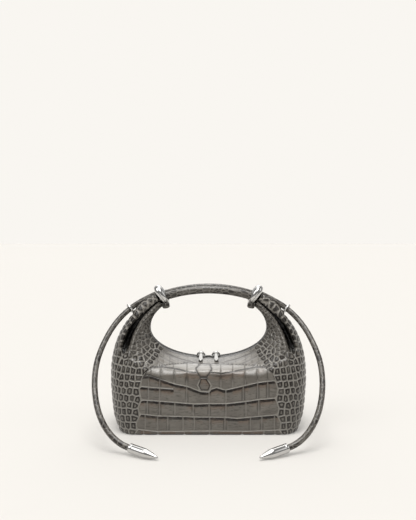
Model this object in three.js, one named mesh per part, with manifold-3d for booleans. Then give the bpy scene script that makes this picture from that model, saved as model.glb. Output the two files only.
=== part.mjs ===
// Ring handle bag: a soft leather bag with a flat boxed foot. Its two upper horns are
// gathered into metal beads, a round handle joins the beads, and the horns, the zip rim
// and the handle close a ring for the hand. A drawcord runs over the handle, through both
// beads and two guide rings, and hangs forward to two metal tips.
// Millimetres, +Z up, +X to the wearer's right, front towards -Y, foot on Z = 0.

import * as THREE from 'three';
import { mergeVertices } from 'three/addons/utils/BufferGeometryUtils.js';
import Module from 'manifold-3d';

// Leather body
const halfWidth = 111;
const halfDepth = 46;
const leather = 2;
const footEdgeRadius = 4;
const panelReach = 18;
const rollSoftness = 14;
const foldDepth = 12;
const sideFlat = 1.6;

// Hand opening, an oval whose lower edge is the zip rim
const openingHalfWidth = 66.7;
const openingCentreHeight = 110;
const rimDrop = 33;

// Zip
const slotWidth = 9.4;
const chainWidth = 4.4;
const chainThickness = 2.4;
const tapeThickness = 1;
const tapeSink = 0.5;
const chainSink = 0.4;

// Sliders and pulls
const sliderLength = 11.4;
const sliderWidth = 7.2;
const sliderPlate = 1.1;
const sliderNoseGap = 3.8;
const barRadius = 0.9;
const eyeWall = 0.9;
const pullWidth = 5;
const pullLength = 20;
const pullThickness = 1.7;
const pullDroop = 14;

// Beads over the joints of horn and handle
const beadSpan = 108;
const beadHeight = 147.8;
const beadTilt = 32;
const beadLong = 23.6;
const beadDeep = 20;
const beadThick = 10;

// Handle and drawcord
const handleDiameter = 8.8;
const handleRise = 153.4;
const handleFlatness = 73;
const handleSpread = 110;
const cordDiameter = 6.2;
const cordBehind = 7.1;

// Horn necks, zip tabs, guide rings and tips
const neckRadius = 7.2;
const neckDrop = 4.8;
const tabLength = 7.4;
const tabWidth = 8.6;
const tabThickness = 5.2;
const guideWire = 2.2;
const guideBore = 7.8;
const tipLength = 32.8;
const tipDiameter = 9.4;

// Clearances
const seatGap = 0.3;
const slideGap = 0.3;
const boreGap = 0.4;

// Outline of the body seen from the front: rise is a share of the neck's height, reach is
// the share of the way from the neck out to the half width.
const outline = [
  { rise: 0, reach: 0.746 },
  { rise: 0.136, reach: 0.893 },
  { rise: 0.259, reach: 0.953 },
  { rise: 0.354, reach: 0.99 },
  { rise: 0.442, reach: 1 },
  { rise: 0.524, reach: 0.982 },
  { rise: 0.601, reach: 0.934 },
  { rise: 0.679, reach: 0.857 },
  { rise: 0.757, reach: 0.744 },
  { rise: 0.829, reach: 0.594 },
  { rise: 0.893, reach: 0.408 },
  { rise: 0.945, reach: 0.223 },
  { rise: 0.984, reach: 0.072 },
  { rise: 1, reach: 0 },
];

// Level sections: depth is the share of the way from the neck's radius out to the half
// depth, corner the share of the half width that the rounded corner takes, and turn the
// share of the depth that the corner rounds away.
const levels = [
  { rise: 0, depth: 1, corner: 0.16, turn: 0.4 },
  { rise: 0.14, depth: 1, corner: 0.2, turn: 0.52 },
  { rise: 0.34, depth: 0.94, corner: 0.27, turn: 0.8 },
  { rise: 0.48, depth: 0.83, corner: 0.31, turn: 0.95 },
  { rise: 0.6, depth: 0.68, corner: 0.3, turn: 1 },
  { rise: 0.74, depth: 0.45, corner: 0.26, turn: 1 },
  { rise: 0.84, depth: 0.24, corner: 0.2, turn: 1 },
  { rise: 0.93, depth: 0.08, corner: 0.13, turn: 1 },
  { rise: 1, depth: 0, corner: 0.11, turn: 1 },
];

// Top panel along the ring, from the middle of the rim (0) to the neck (1): reach is the
// share of the panel reach at which the panel rolls over into the body.
const panels = [
  { along: 0, reach: 0.35 },
  { along: 0.12, reach: 0.42 },
  { along: 0.26, reach: 0.7 },
  { along: 0.4, reach: 1 },
  { along: 0.62, reach: 1.05 },
  { along: 0.82, reach: 0.8 },
  { along: 1, reach: 0.36 },
];

// The deep fold in each horn, front and back: place and spread are shares of the way from
// the opening to the outline, depth a share of the fold's depth.
const folds = [
  { along: 0.44, place: 0.66, spread: 0.16, depth: 0 },
  { along: 0.53, place: 0.65, spread: 0.17, depth: 0.3 },
  { along: 0.6, place: 0.63, spread: 0.18, depth: 0.85 },
  { along: 0.66, place: 0.62, spread: 0.2, depth: 1 },
  { along: 0.74, place: 0.6, spread: 0.22, depth: 0.75 },
  { along: 0.84, place: 0.56, spread: 0.26, depth: 0.42 },
  { along: 1, place: 0.5, spread: 0.34, depth: 0.16 },
];

// The drawcord on the right side. Over the handle: along is the share of the way from the
// middle to the bead, above the height over the handle's middle line.
const cordOverHandle = [
  { along: 0, above: 3.5 },
  { along: 0.37, above: 3.5 },
  { along: 0.704, above: 3.6 },
  { along: 0.88, above: 3.75 },
];

// Where the cord leaves the bead, measured from the bead's middle.
const cordLeavesBead = [7, 7.3, -0.2];

// Over the horn's shoulder to the guide ring: lift is the distance off the outline, and
// behind the distance behind the bag's middle plane.
const cordOverShoulder = [
  { rise: 0.9647, lift: 2.7, behind: 6.2 },
  { rise: 0.9236, lift: 4.46, behind: 3.9 },
  { rise: 0.894, lift: 5.56, behind: 2.2 },
];
const guideSpot = { rise: 0.8643, lift: 6.28, behind: 0.5 };

// The free end and the tip, with X measured outwards from the half width.
const freeRoute = [
  [-15.4, -3.4, 126.6],
  [-8.8, -9.2, 119.6],
  [-2.1, -18.0, 110.0],
  [2.7, -26.8, 100.3],
  [6.3, -35.2, 90.8],
  [8.6, -43.4, 81.5],
  [9.4, -51.3, 72.5],
  [9.0, -59.0, 63.5],
  [7.6, -66.5, 54.8],
  [5.2, -74.0, 46.2],
  [1.8, -81.2, 37.9],
  [-2.8, -87.8, 29.8],
  [-9.1, -93.6, 21.6],
  [-17.0, -98.6, 14.4],
  [-25.2, -102.2, 9.6],
];
const tipRoot = [-33.6, -105.5, 7.2];
const tipNose = [-62.3, -120.7, 2.9];
const cordLead = 3;

// Values that follow from the sizes above
const tilt = THREE.MathUtils.degToRad(beadTilt);
const longAxis = new THREE.Vector3(Math.sin(tilt), 0, Math.cos(tilt));
const boreAxis = new THREE.Vector3(Math.cos(tilt), 0, -Math.sin(tilt));
const beadCentre = new THREE.Vector3(beadSpan / 2, 0, beadHeight);
const neckCentre = beadCentre
  .clone()
  .addScaledVector(boreAxis, beadThick / 2 + seatGap)
  .addScaledVector(longAxis, -neckDrop);
const neckInner = neckCentre.clone().addScaledVector(longAxis, -neckRadius);
const neckOuter = neckCentre.clone().addScaledVector(longAxis, neckRadius);
const beadDepthCentre = (cordBehind + cordDiameter / 2 - handleDiameter / 2) / 2;

const wasm = await Module();
wasm.setup();

// Smooth value of a table's column: a cubic through the rows, without overshoot.
function columnAt(table, key, column, at) {
  const last = table.length - 1;
  if (at <= table[0][key]) {
    return table[0][column];
  }
  if (at >= table[last][key]) {
    return table[last][column];
  }
  let i = 0;
  while (table[i + 1][key] < at) {
    i += 1;
  }
  const slopeAt = (k) => {
    if (k === 0 || k === last) {
      const a = Math.min(k, last - 1);
      return (table[a + 1][column] - table[a][column]) / (table[a + 1][key] - table[a][key]);
    }
    const before = (table[k][column] - table[k - 1][column]) / (table[k][key] - table[k - 1][key]);
    const after = (table[k + 1][column] - table[k][column]) / (table[k + 1][key] - table[k][key]);
    return before * after <= 0 ? 0 : (2 * before * after) / (before + after);
  };
  const step = table[i + 1][key] - table[i][key];
  const t = (at - table[i][key]) / step;
  const rise = table[i + 1][column] - table[i][column];
  const m0 = slopeAt(i) * step;
  const m1 = slopeAt(i + 1) * step;
  return table[i][column] + m0 * t + (3 * rise - 2 * m0 - m1) * t * t + (m0 + m1 - 2 * rise) * t * t * t;
}

function softMin(a, b, softness) {
  const near = Math.max(softness - Math.abs(a - b), 0) / softness;
  return Math.min(a, b) - (near * near * softness) / 4;
}

// How far a rounded edge stands back from its flat at a height above the foot.
function footEdge(height) {
  const left = Math.max(footEdgeRadius - height, 0);
  return footEdgeRadius - Math.sqrt(Math.max(footEdgeRadius * footEdgeRadius - left * left, 0));
}

// The outline's half width at a height.
function outlineAt(height) {
  const rise = Math.min(Math.max(height / neckOuter.z, 0), 1);
  const reach = columnAt(outline, 'rise', 'reach', rise);
  return neckOuter.x + (halfWidth - neckOuter.x) * reach - footEdge(height);
}

const cornerAlong = 0.4;
const cornerAngle = 48;
const gather = 2.6;

// The upper part of the opening passes through the horn's inner edge at the neck.
const neckShare = neckInner.x / openingHalfWidth;
const crownRise = (neckInner.z - openingCentreHeight) / Math.sqrt(1 - neckShare * neckShare);
const neckAngle = 180 - THREE.MathUtils.radToDeg(Math.asin(neckShare));

// A point of the opening's edge, along the ring from the rim's middle (0) to the neck (1).
function openingPoint(along) {
  const degrees =
    along < cornerAlong
      ? (cornerAngle * along) / cornerAlong
      : cornerAngle + ((neckAngle - cornerAngle) * (along - cornerAlong)) / (1 - cornerAlong);
  const angle = THREE.MathUtils.degToRad(degrees);
  const drop = Math.cos(angle) > 0 ? rimDrop : crownRise;
  return new THREE.Vector2(
    openingHalfWidth * Math.sin(angle),
    openingCentreHeight - drop * Math.cos(angle),
  );
}

// The matching point of the body's outer edge: the foot's line, then up the side.
function outerPoint(along) {
  if (along <= cornerAlong) {
    return new THREE.Vector2((outlineAt(0) * along) / cornerAlong, 0);
  }
  const climb = (along - cornerAlong) / (1 - cornerAlong);
  const height = neckOuter.z * (1 - Math.pow(1 - climb, gather));
  return new THREE.Vector2(outlineAt(height), height);
}

// Half depth of the body without its top panel and folds.
function bodyDepth(x, height) {
  const rise = Math.min(height / neckOuter.z, 1);
  const full = neckRadius + (halfDepth - neckRadius) * columnAt(levels, 'rise', 'depth', rise);
  const corner = halfWidth * columnAt(levels, 'rise', 'corner', rise);
  const turn = columnAt(levels, 'rise', 'turn', rise);
  const inset = Math.min(Math.max(outlineAt(height) - x, 0) / corner, 1);
  const rounded = Math.sqrt(1 - (1 - inset) * (1 - inset));
  return full * (1 - turn + turn * rounded) - footEdge(height);
}

// Half width of the zip slot: open along the rim, closing towards the neck.
const slotEnd = 0.9;
const closedSlot = 0.6;
function slotHalf(along) {
  if (along < slotEnd) {
    return slotWidth / 2;
  }
  const closing = (along - slotEnd) / (1 - slotEnd);
  return slotWidth / 2 + (closedSlot - slotWidth / 2) * closing;
}

// Half depth of the finished body at a share of the way from the opening to the outline.
function depthAt(along, share, inner, outer) {
  const x = inner.x + (outer.x - inner.x) * share;
  const height = inner.y + (outer.y - inner.y) * share;
  const distance = inner.distanceTo(outer) * share;
  const body = bodyDepth(x, height);
  const reach = panelReach * columnAt(panels, 'along', 'reach', along);
  const start = slotHalf(along);
  const softness = Math.min(rollSoftness, body * 0.5 + 0.01);
  const panel = start + ((body - start) * distance) / reach;
  const rolled = Math.max(softMin(panel, body, softness), Math.min(start, body));
  const place = columnAt(folds, 'along', 'place', along);
  const spread = columnAt(folds, 'along', 'spread', along);
  const deep = foldDepth * columnAt(folds, 'along', 'depth', along);
  const off = Math.min(Math.abs(share - place) / spread, 1);
  const groove = along < folds[0].along ? 0 : deep * (1 - off * off) * (1 - off * off);
  return rolled - groove;
}

// One half section in front of the ring, from the slot's edge out to the middle of the
// foot or of the side, as points of the outer leather face.
const panelSteps = 5;
const bodySteps = 10;
const closureSteps = 2;
const rollOverrun = 1.45;
const panelShareMost = 0.42;
function halfSection(along) {
  const inner = openingPoint(along);
  const outer = outerPoint(along);
  const whole = inner.distanceTo(outer);
  const rollShare = (rollOverrun * panelReach * columnAt(panels, 'along', 'reach', along)) / whole;
  const panelShare = Math.min(rollShare, panelShareMost);
  const points = [];
  const place = (share, depth) => {
    const flat = inner.clone().lerp(outer, share);
    points.push(new THREE.Vector3(flat.x, -depth, flat.y));
  };
  for (let i = 0; i < panelSteps; i += 1) {
    const share = (panelShare * i) / panelSteps;
    place(share, depthAt(along, share, inner, outer));
  }
  for (let i = 0; i <= bodySteps; i += 1) {
    const share = panelShare + (1 - panelShare) * Math.sin(((Math.PI / 2) * i) / bodySteps);
    place(share, Math.max(depthAt(along, share, inner, outer), sideFlat / 2));
  }
  const edge = Math.max(depthAt(along, 1, inner, outer), sideFlat / 2);
  for (let i = 1; i <= closureSteps; i += 1) {
    place(1, edge * (1 - i / closureSteps));
  }
  return points;
}

// The whole section, front slot edge to back slot edge, for either side of the bag.
function wholeSection(along, side) {
  const front = halfSection(along);
  const back = front
    .slice(0, -1)
    .reverse()
    .map((p) => new THREE.Vector3(p.x, -p.y, p.z));
  return front.concat(back).map((p) => new THREE.Vector3(p.x * side, p.y, p.z));
}

// A closed sheet of even thickness from a grid of points on its outer face. The first and
// last columns are square edges along Y, and the first and last rows are cut flat.
function sheetFromGrid(grid, thickness) {
  const rows = grid.length;
  const columns = grid[0].length;
  const middle = Math.floor(columns / 2);
  const normals = grid.map((row, i) =>
    row.map((_, j) => {
      const up = grid[Math.min(i + 1, rows - 1)][j].clone().sub(grid[Math.max(i - 1, 0)][j]);
      const over = row[Math.min(j + 1, columns - 1)].clone().sub(row[Math.max(j - 1, 0)]);
      const normal = over.cross(up);
      if (j === 0 || j === columns - 1) {
        normal.y = 0;
      }
      if (i === 0 || i === rows - 1) {
        const cut = row[columns - 1].clone().sub(row[0]).cross(row[middle].clone().sub(row[0]));
        normal.projectOnPlane(cut.normalize());
      }
      return normal.normalize();
    }),
  );
  const positions = [];
  grid.forEach((row) => row.forEach((p) => positions.push(p.x, p.y, p.z)));
  grid.forEach((row, i) =>
    row.forEach((p, j) => {
      const inside = p.clone().addScaledVector(normals[i][j], -thickness);
      positions.push(inside.x, inside.y, inside.z);
    }),
  );
  const outer = (i, j) => i * columns + j;
  const inner = (i, j) => rows * columns + i * columns + j;
  const faces = [];
  const quad = (a, b, c, d) => faces.push(a, b, c, a, c, d);
  for (let i = 0; i < rows - 1; i += 1) {
    for (let j = 0; j < columns - 1; j += 1) {
      quad(outer(i, j), outer(i, j + 1), outer(i + 1, j + 1), outer(i + 1, j));
      quad(inner(i, j), inner(i + 1, j), inner(i + 1, j + 1), inner(i, j + 1));
    }
    quad(outer(i, 0), outer(i + 1, 0), inner(i + 1, 0), inner(i, 0));
    const end = columns - 1;
    quad(outer(i, end), inner(i, end), inner(i + 1, end), outer(i + 1, end));
  }
  for (let j = 0; j < columns - 1; j += 1) {
    quad(outer(0, j), inner(0, j), inner(0, j + 1), outer(0, j + 1));
    const end = rows - 1;
    quad(outer(end, j), outer(end, j + 1), inner(end, j + 1), inner(end, j));
  }
  const geometry = new THREE.BufferGeometry();
  geometry.setAttribute('position', new THREE.Float32BufferAttribute(positions, 3));
  geometry.setIndex(faces);
  geometry.computeVertexNormals();
  return geometry;
}

// Stations along one half of the ring: few on the flat front, crowded at the foot's corner.
const frontStations = 6;
const sideStations = 16;
const cornerCrowding = 1.6;
function ringStations() {
  const stations = [];
  for (let i = 0; i <= frontStations; i += 1) {
    stations.push((cornerAlong * i) / frontStations);
  }
  for (let i = 1; i <= sideStations; i += 1) {
    const climb = Math.pow(i / sideStations, cornerCrowding);
    stations.push(cornerAlong + (1 - cornerAlong) * climb);
  }
  return stations;
}

function bagShell() {
  const stations = ringStations();
  const left = stations
    .slice(1)
    .reverse()
    .map((along) => wholeSection(along, -1));
  const right = stations.map((along) => wholeSection(along, 1));
  return sheetFromGrid(left.concat(right), leather);
}

// Outward direction of the opening's edge, pointing away from the leather.
function openingNormal(along) {
  const step = 0.004;
  const ahead = openingPoint(Math.min(along + step, 1));
  const behind = openingPoint(Math.max(along - step, 0));
  const run = ahead.sub(behind).normalize();
  return new THREE.Vector2(-run.y, run.x);
}

// A strip that follows the opening's edge between two signed stations. Its section spans
// a depth range in Y and a sink range below the leather's rim.
function rimStrip(from, to, steps, front, back, sinkTop, sinkBottom) {
  const positions = [];
  for (let i = 0; i <= steps; i += 1) {
    const signed = from + ((to - from) * i) / steps;
    const side = signed < 0 ? -1 : 1;
    const along = Math.abs(signed);
    const edge = openingPoint(along);
    const out = openingNormal(along);
    const corner = (y, sink) => {
      positions.push(side * (edge.x - out.x * sink), y, edge.y - out.y * sink);
    };
    corner(front, sinkTop);
    corner(back, sinkTop);
    corner(back, sinkBottom);
    corner(front, sinkBottom);
  }
  const faces = [];
  for (let i = 0; i < steps; i += 1) {
    for (let k = 0; k < 4; k += 1) {
      const a = i * 4 + k;
      const b = i * 4 + ((k + 1) % 4);
      faces.push(a, a + 4, b + 4, a, b + 4, b);
    }
  }
  const end = steps * 4;
  faces.push(0, 1, 2, 0, 2, 3, end, end + 2, end + 1, end, end + 3, end + 2);
  const geometry = new THREE.BufferGeometry();
  geometry.setAttribute('position', new THREE.Float32BufferAttribute(positions, 3));
  geometry.setIndex(faces);
  geometry.computeVertexNormals();
  return geometry;
}

const zipEnd = 0.88;
const tapeSteps = 28;
const chainSteps = 18;

function zipTape(side) {
  const near = (chainWidth / 2 + slideGap) * side;
  const far = (slotWidth / 2 - slideGap) * side;
  const front = Math.min(near, far);
  const back = Math.max(near, far);
  return rimStrip(-zipEnd, zipEnd, tapeSteps, front, back, tapeSink, tapeSink + tapeThickness);
}

// Station at which the opening's edge reaches a half width near the rim's middle.
function stationAt(x) {
  const degrees = THREE.MathUtils.radToDeg(Math.asin(x / openingHalfWidth));
  return (cornerAlong * degrees) / cornerAngle;
}

const webLength = 3;
const webSetback = 1.2;

function zipChain(side) {
  const start = stationAt(sliderNoseGap / 2 + webSetback + webLength + slideGap) * side;
  const from = Math.min(start, zipEnd * side);
  const to = Math.max(start, zipEnd * side);
  const half = chainWidth / 2;
  return rimStrip(from, to, chainSteps, -half, half, chainSink, chainSink + chainThickness);
}

// Solid and mesh forms of one shape, for joins and cuts.
function toSolid(geometry) {
  const bare = geometry.clone();
  bare.deleteAttribute('normal');
  bare.deleteAttribute('uv');
  const merged = mergeVertices(bare, 1e-4);
  return new wasm.Manifold(
    new wasm.Mesh({
      numProp: 3,
      vertProperties: new Float32Array(merged.attributes.position.array),
      triVerts: new Uint32Array(merged.index.array),
    }),
  );
}

function toGeometry(solid) {
  const mesh = solid.getMesh();
  const geometry = new THREE.BufferGeometry();
  geometry.setAttribute('position', new THREE.BufferAttribute(mesh.vertProperties, 3));
  geometry.setIndex(new THREE.BufferAttribute(mesh.triVerts, 1));
  geometry.computeVertexNormals();
  return geometry;
}

function movedBox(sizeX, sizeY, sizeZ, x, y, z) {
  return new THREE.BoxGeometry(sizeX, sizeY, sizeZ).translate(x, y, z);
}

// Heights in a slider's own frame: its origin is the rim under the slider's middle, X runs
// along the rim away from the bag's middle, and Z stands square to the rim.
const chainTop = -chainSink;
const chainBottom = chainTop - chainThickness;
const plateBottom = chainTop + slideGap;
const plateTop = plateBottom + sliderPlate;
const barHeight = plateTop + slideGap + eyeWall + slideGap + barRadius;
const pullCentre = sliderLength / 2 - barRadius * 2 - slideGap - pullWidth / 2;

// The group that carries a slider and its pull.
function sliderSeat(side) {
  const seat = new THREE.Group();
  const along = stationAt(sliderNoseGap / 2 + sliderLength / 2);
  const edge = openingPoint(along);
  const out = openingNormal(along);
  const facing = new THREE.Matrix4().makeBasis(
    new THREE.Vector3(side * out.y, 0, -out.x),
    new THREE.Vector3(0, side, 0),
    new THREE.Vector3(side * out.x, 0, out.y),
  );
  seat.quaternion.setFromRotationMatrix(facing);
  seat.position.set(side * edge.x, 0, edge.y);
  return seat;
}

// A zip slider: two plates joined by a web between them, and a bridge bar for the pull.
function slider() {
  const top = toSolid(
    movedBox(sliderLength, sliderWidth, sliderPlate, 0, 0, (plateBottom + plateTop) / 2),
  );
  const lowTop = chainBottom - slideGap;
  const bottom = toSolid(
    movedBox(sliderLength, sliderWidth, sliderPlate, 0, 0, lowTop - sliderPlate / 2),
  );
  const webHeight = plateTop - lowTop + sliderPlate;
  const webX = webSetback + webLength / 2 - sliderLength / 2;
  const web = toSolid(
    movedBox(webLength, chainWidth / 2, webHeight, webX, 0, plateTop - webHeight / 2),
  );
  return toGeometry(top.add(bottom).add(web).add(bridge()));
}

// The bridge: a bar between two legs that rise from the upper plate.
function bridge() {
  const eyeGap = pullWidth / 2 + slideGap;
  const rearLeg = pullCentre + eyeGap + barRadius;
  const noseLeg = pullCentre - eyeGap - barRadius;
  const legHeight = barHeight + barRadius - plateTop + sliderPlate / 2;
  const legMiddle = barHeight + barRadius - legHeight / 2;
  const leg = (x) => toSolid(movedBox(2 * barRadius, 2 * barRadius, legHeight, x, 0, legMiddle));
  const bar = toSolid(
    new THREE.CylinderGeometry(barRadius, barRadius, rearLeg - noseLeg, 12)
      .rotateZ(Math.PI / 2)
      .translate((rearLeg + noseLeg) / 2, 0, barHeight),
  );
  return leg(rearLeg).add(leg(noseLeg)).add(bar);
}

// A pull: an eye round the bridge bar and a flat tongue with a round end.
function pull() {
  const eyeInner = barRadius + slideGap;
  const eyeOuter = eyeInner + eyeWall;
  const ring = new THREE.Shape().absarc(0, 0, eyeOuter, 0, 2 * Math.PI, false);
  ring.holes.push(new THREE.Path().absarc(0, 0, eyeInner, 0, 2 * Math.PI, true));
  const eye = new THREE.ExtrudeGeometry(ring, {
    depth: pullWidth,
    bevelEnabled: false,
    curveSegments: 9,
  });
  eye.translate(0, 0, -pullWidth / 2).rotateY(Math.PI / 2);
  const half = pullWidth / 2;
  const tongue = new THREE.Shape();
  tongue.moveTo(half, -eyeInner - eyeWall / 3);
  tongue.lineTo(half, -(pullLength - half));
  tongue.absarc(0, -(pullLength - half), half, 0, -Math.PI, true);
  tongue.lineTo(-half, -eyeInner - eyeWall / 3);
  tongue.closePath();
  const plate = new THREE.ExtrudeGeometry(tongue, {
    depth: pullThickness,
    bevelEnabled: false,
    curveSegments: 8,
  });
  plate.translate(0, 0, -pullThickness / 2);
  return toGeometry(toSolid(eye).add(toSolid(plate)));
}

// Turns a piece made with X along a bead's long axis and Y along its bore.
function turnToBead(mesh, side) {
  const facing = new THREE.Matrix4().makeBasis(
    new THREE.Vector3(side * longAxis.x, 0, longAxis.z),
    new THREE.Vector3(side * boreAxis.x, 0, boreAxis.z),
    new THREE.Vector3(0, side, 0),
  );
  mesh.quaternion.setFromRotationMatrix(facing);
}

// A round bore through a bead's place, between two points on a tube's middle line.
function boreAlong(from, to, diameter) {
  const run = to.clone().sub(from);
  const bore = new THREE.CylinderGeometry(diameter / 2, diameter / 2, run.length() * 2, 18);
  bore.applyQuaternion(
    new THREE.Quaternion().setFromUnitVectors(new THREE.Vector3(0, 1, 0), run.normalize()),
  );
  const middle = from.clone().add(to).multiplyScalar(0.5);
  return bore.translate(middle.x, middle.y, middle.z);
}

// The handle ends inside the bead, and its bore goes a little deeper: both are shares of
// half the bead's thickness, measured from the bead's middle.
const handleEndShare = 0.55;
const handleBoreShare = 0.6;

// A bead in place: its body less the bores of the handle and of the cord.
function bead(side) {
  const reach = beadThick / 2;
  const onHandle = (x) => new THREE.Vector3(side * x, 0, handleHeight(x));
  const handleIn = onHandle(beadCentre.x - boreAxis.x * reach);
  const handleOut = onHandle(beadCentre.x + boreAxis.x * reach * handleBoreShare);
  const cordIn = overHandle(cordOverHandle[cordOverHandle.length - 1]);
  const cordOut = vector(cordLeavesBead).add(beadCentre);
  cordIn.x *= side;
  cordOut.x *= side;
  const seat = new THREE.Group();
  turnToBead(seat, side);
  seat.position.set(side * beadCentre.x, beadDepthCentre, beadCentre.z);
  seat.updateMatrix();
  const body = toSolid(beadBody().applyMatrix4(seat.matrix));
  const handleBore = boreAlong(handleIn, handleOut, handleDiameter + 2 * boreGap);
  const cordBore = boreAlong(cordIn, cordOut, cordDiameter + 2 * boreGap);
  return toGeometry(body.subtract(toSolid(handleBore)).subtract(toSolid(cordBore)));
}

// A bead's body: an oval barrel with a ridge round its waist.
function beadBody() {
  const half = beadThick / 2;
  const profile = [
    [0, -half],
    [0.91, -half],
    [0.96, -half * 0.8],
    [1, -half * 0.1],
    [1, half * 0.1],
    [0.96, half * 0.8],
    [0.91, half],
    [0, half],
  ].map(([r, h]) => new THREE.Vector2(r, h));
  const body = new THREE.LatheGeometry(profile, 20);
  return body.scale(beadLong / 2, 1, beadDeep / 2);
}

// The height of the handle's middle line at a distance from the centre.
function handleHeight(x) {
  const share = x / handleSpread;
  return handleRise - handleFlatness * (1 - Math.sqrt(1 - share * share));
}

// A round tube along points, as an extruded polygon.
function tube(points, diameter, sides, steps) {
  const curve = new THREE.CatmullRomCurve3(points, false, 'centripetal');
  const ring = new THREE.Shape();
  for (let i = 0; i < sides; i += 1) {
    const angle = (2 * Math.PI * i) / sides;
    const x = (diameter / 2) * Math.cos(angle);
    const y = (diameter / 2) * Math.sin(angle);
    if (i === 0) {
      ring.moveTo(x, y);
    } else {
      ring.lineTo(x, y);
    }
  }
  ring.closePath();
  return new THREE.ExtrudeGeometry(ring, { steps, extrudePath: curve, bevelEnabled: false });
}

const handlePoints = 16;
const handleSides = 14;
const handleSteps = 22;

function handleTube() {
  const reach = beadCentre.x + boreAxis.x * (beadThick / 2) * handleEndShare;
  const points = [];
  for (let i = 0; i <= handlePoints; i += 1) {
    const x = -reach + (2 * reach * i) / handlePoints;
    points.push(new THREE.Vector3(x, 0, handleHeight(x)));
  }
  return tube(points, handleDiameter, handleSides, handleSteps);
}

function vector(point) {
  return new THREE.Vector3(point[0], point[1], point[2]);
}

// A route with both its ends pulled back, so that neighbours keep a gap.
function shortened(points, gapAtStart, gapAtEnd) {
  const out = points.map((p) => p.clone());
  const last = out.length - 1;
  const first = out[1].clone().sub(out[0]).normalize();
  const final = out[last - 1].clone().sub(out[last]).normalize();
  out[0].addScaledVector(first, gapAtStart);
  out[last].addScaledVector(final, gapAtEnd);
  return out;
}

// Middle of the cord where it lies on the handle.
function overHandle({ along, above }) {
  const x = beadCentre.x * along;
  return new THREE.Vector3(x, cordBehind, handleHeight(x) + above);
}

// Middle of the cord where it lies along the horn's shoulder.
function overShoulder({ rise, lift, behind }, side = 1) {
  const step = 0.3;
  const height = rise * neckOuter.z;
  const climb = outlineAt(height + step) - outlineAt(height - step);
  const out = new THREE.Vector2(2 * step, -climb).normalize();
  return new THREE.Vector3(
    side * (outlineAt(height) + out.x * lift),
    behind,
    height + out.y * lift,
  );
}

// A point of the free end, whose X is measured outwards from the half width.
function hanging(point, side) {
  return new THREE.Vector3((point[0] + halfWidth) * side, point[1], point[2]);
}

// The cord runs straight through a guide ring, and straight into its tip.
function guideRun(side) {
  const before = overShoulder(cordOverShoulder[cordOverShoulder.length - 1], side);
  return hanging(freeRoute[0], side).sub(before).normalize();
}

function tipRun(side) {
  return hanging(tipNose, side).sub(hanging(tipRoot, side)).normalize();
}

const cordSides = 10;
const heldCordSteps = 26;
const freeCordSteps = 22;

function heldCord() {
  const guide = overShoulder(guideSpot);
  const lead = guide.clone().addScaledVector(guideRun(1), -cordLead);
  const leaving = vector(cordLeavesBead).add(beadCentre);
  const shoulder = cordOverShoulder.map((spot) => overShoulder(spot));
  const right = [...cordOverHandle.map(overHandle), leaving, ...shoulder, lead, guide];
  const left = right
    .slice(1)
    .reverse()
    .map((p) => new THREE.Vector3(-p.x, p.y, p.z));
  const points = shortened(left.concat(right), seatGap / 2, seatGap / 2);
  return tube(points, cordDiameter, cordSides, heldCordSteps);
}

function freeCord(side) {
  const guide = overShoulder(guideSpot, side);
  const root = hanging(tipRoot, side);
  const start = guide.clone().addScaledVector(guideRun(side), cordLead);
  const finish = root.clone().addScaledVector(tipRun(side), -cordLead);
  const middle = freeRoute.map((p) => hanging(p, side));
  const route = [guide, start, ...middle, finish, root];
  return tube(shortened(route, seatGap / 2, seatGap), cordDiameter, cordSides, freeCordSteps);
}

// A guide ring stands square to the cord that runs through it.
function placeGuide(mesh, side) {
  mesh.quaternion.setFromUnitVectors(new THREE.Vector3(0, 0, 1), guideRun(side));
  mesh.position.copy(overShoulder(guideSpot, side));
}

// A cord tip: a straight barrel, then a pointed nose with a small round end.
function tip() {
  const radius = tipDiameter / 2;
  const profile = [
    [0, 0],
    [0.93, 0],
    [1, 0.02],
    [1, 0.52],
    [0.9, 0.62],
    [0.55, 0.82],
    [0.22, 0.97],
    [0, 1],
  ].map(([r, l]) => new THREE.Vector2(r * radius, l * tipLength));
  return new THREE.LatheGeometry(profile, 14);
}

function placeTip(mesh, side) {
  mesh.quaternion.setFromUnitVectors(new THREE.Vector3(0, 1, 0), tipRun(side));
  mesh.position.copy(hanging(tipRoot, side));
}

// The leather tab at each end of the zip, a rounded stub below the bead.
function zipTab() {
  const stub = new THREE.SphereGeometry(1, 10, 8);
  stub.scale(tabThickness / 2, tabLength / 2, tabWidth / 2);
  return stub;
}

function placeTab(mesh, side) {
  const below = neckInner
    .clone()
    .addScaledVector(boreAxis, -(tabLength / 2 + seatGap))
    .addScaledVector(longAxis, neckRadius + neckDrop - beadLong / 2 - seatGap - tabThickness / 2);
  mesh.position.set(side * below.x, 0, below.z);
  turnToBead(mesh, side);
}

const leatherFinish = { color: 0x64615a, roughness: 0.38, metalness: 0 };
const steelFinish = { color: 0xd8d8d6, roughness: 0.12, metalness: 1 };
const tapeFinish = { color: 0x24221f, roughness: 0.9, metalness: 0 };

const bag = new THREE.Group();

function add(name, geometry, finish, parent = bag) {
  const mesh = new THREE.Mesh(geometry, new THREE.MeshStandardMaterial(finish));
  mesh.name = name;
  parent.add(mesh);
  return mesh;
}

add('bag_shell', bagShell(), leatherFinish);
add('zip_tape_front', zipTape(-1), tapeFinish);
add('zip_tape_back', zipTape(1), tapeFinish);
add('handle_tube', handleTube(), leatherFinish);
add('cord_top', heldCord(), leatherFinish);

const sides = [
  { name: 'left', sign: -1 },
  { name: 'right', sign: 1 },
];

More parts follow.
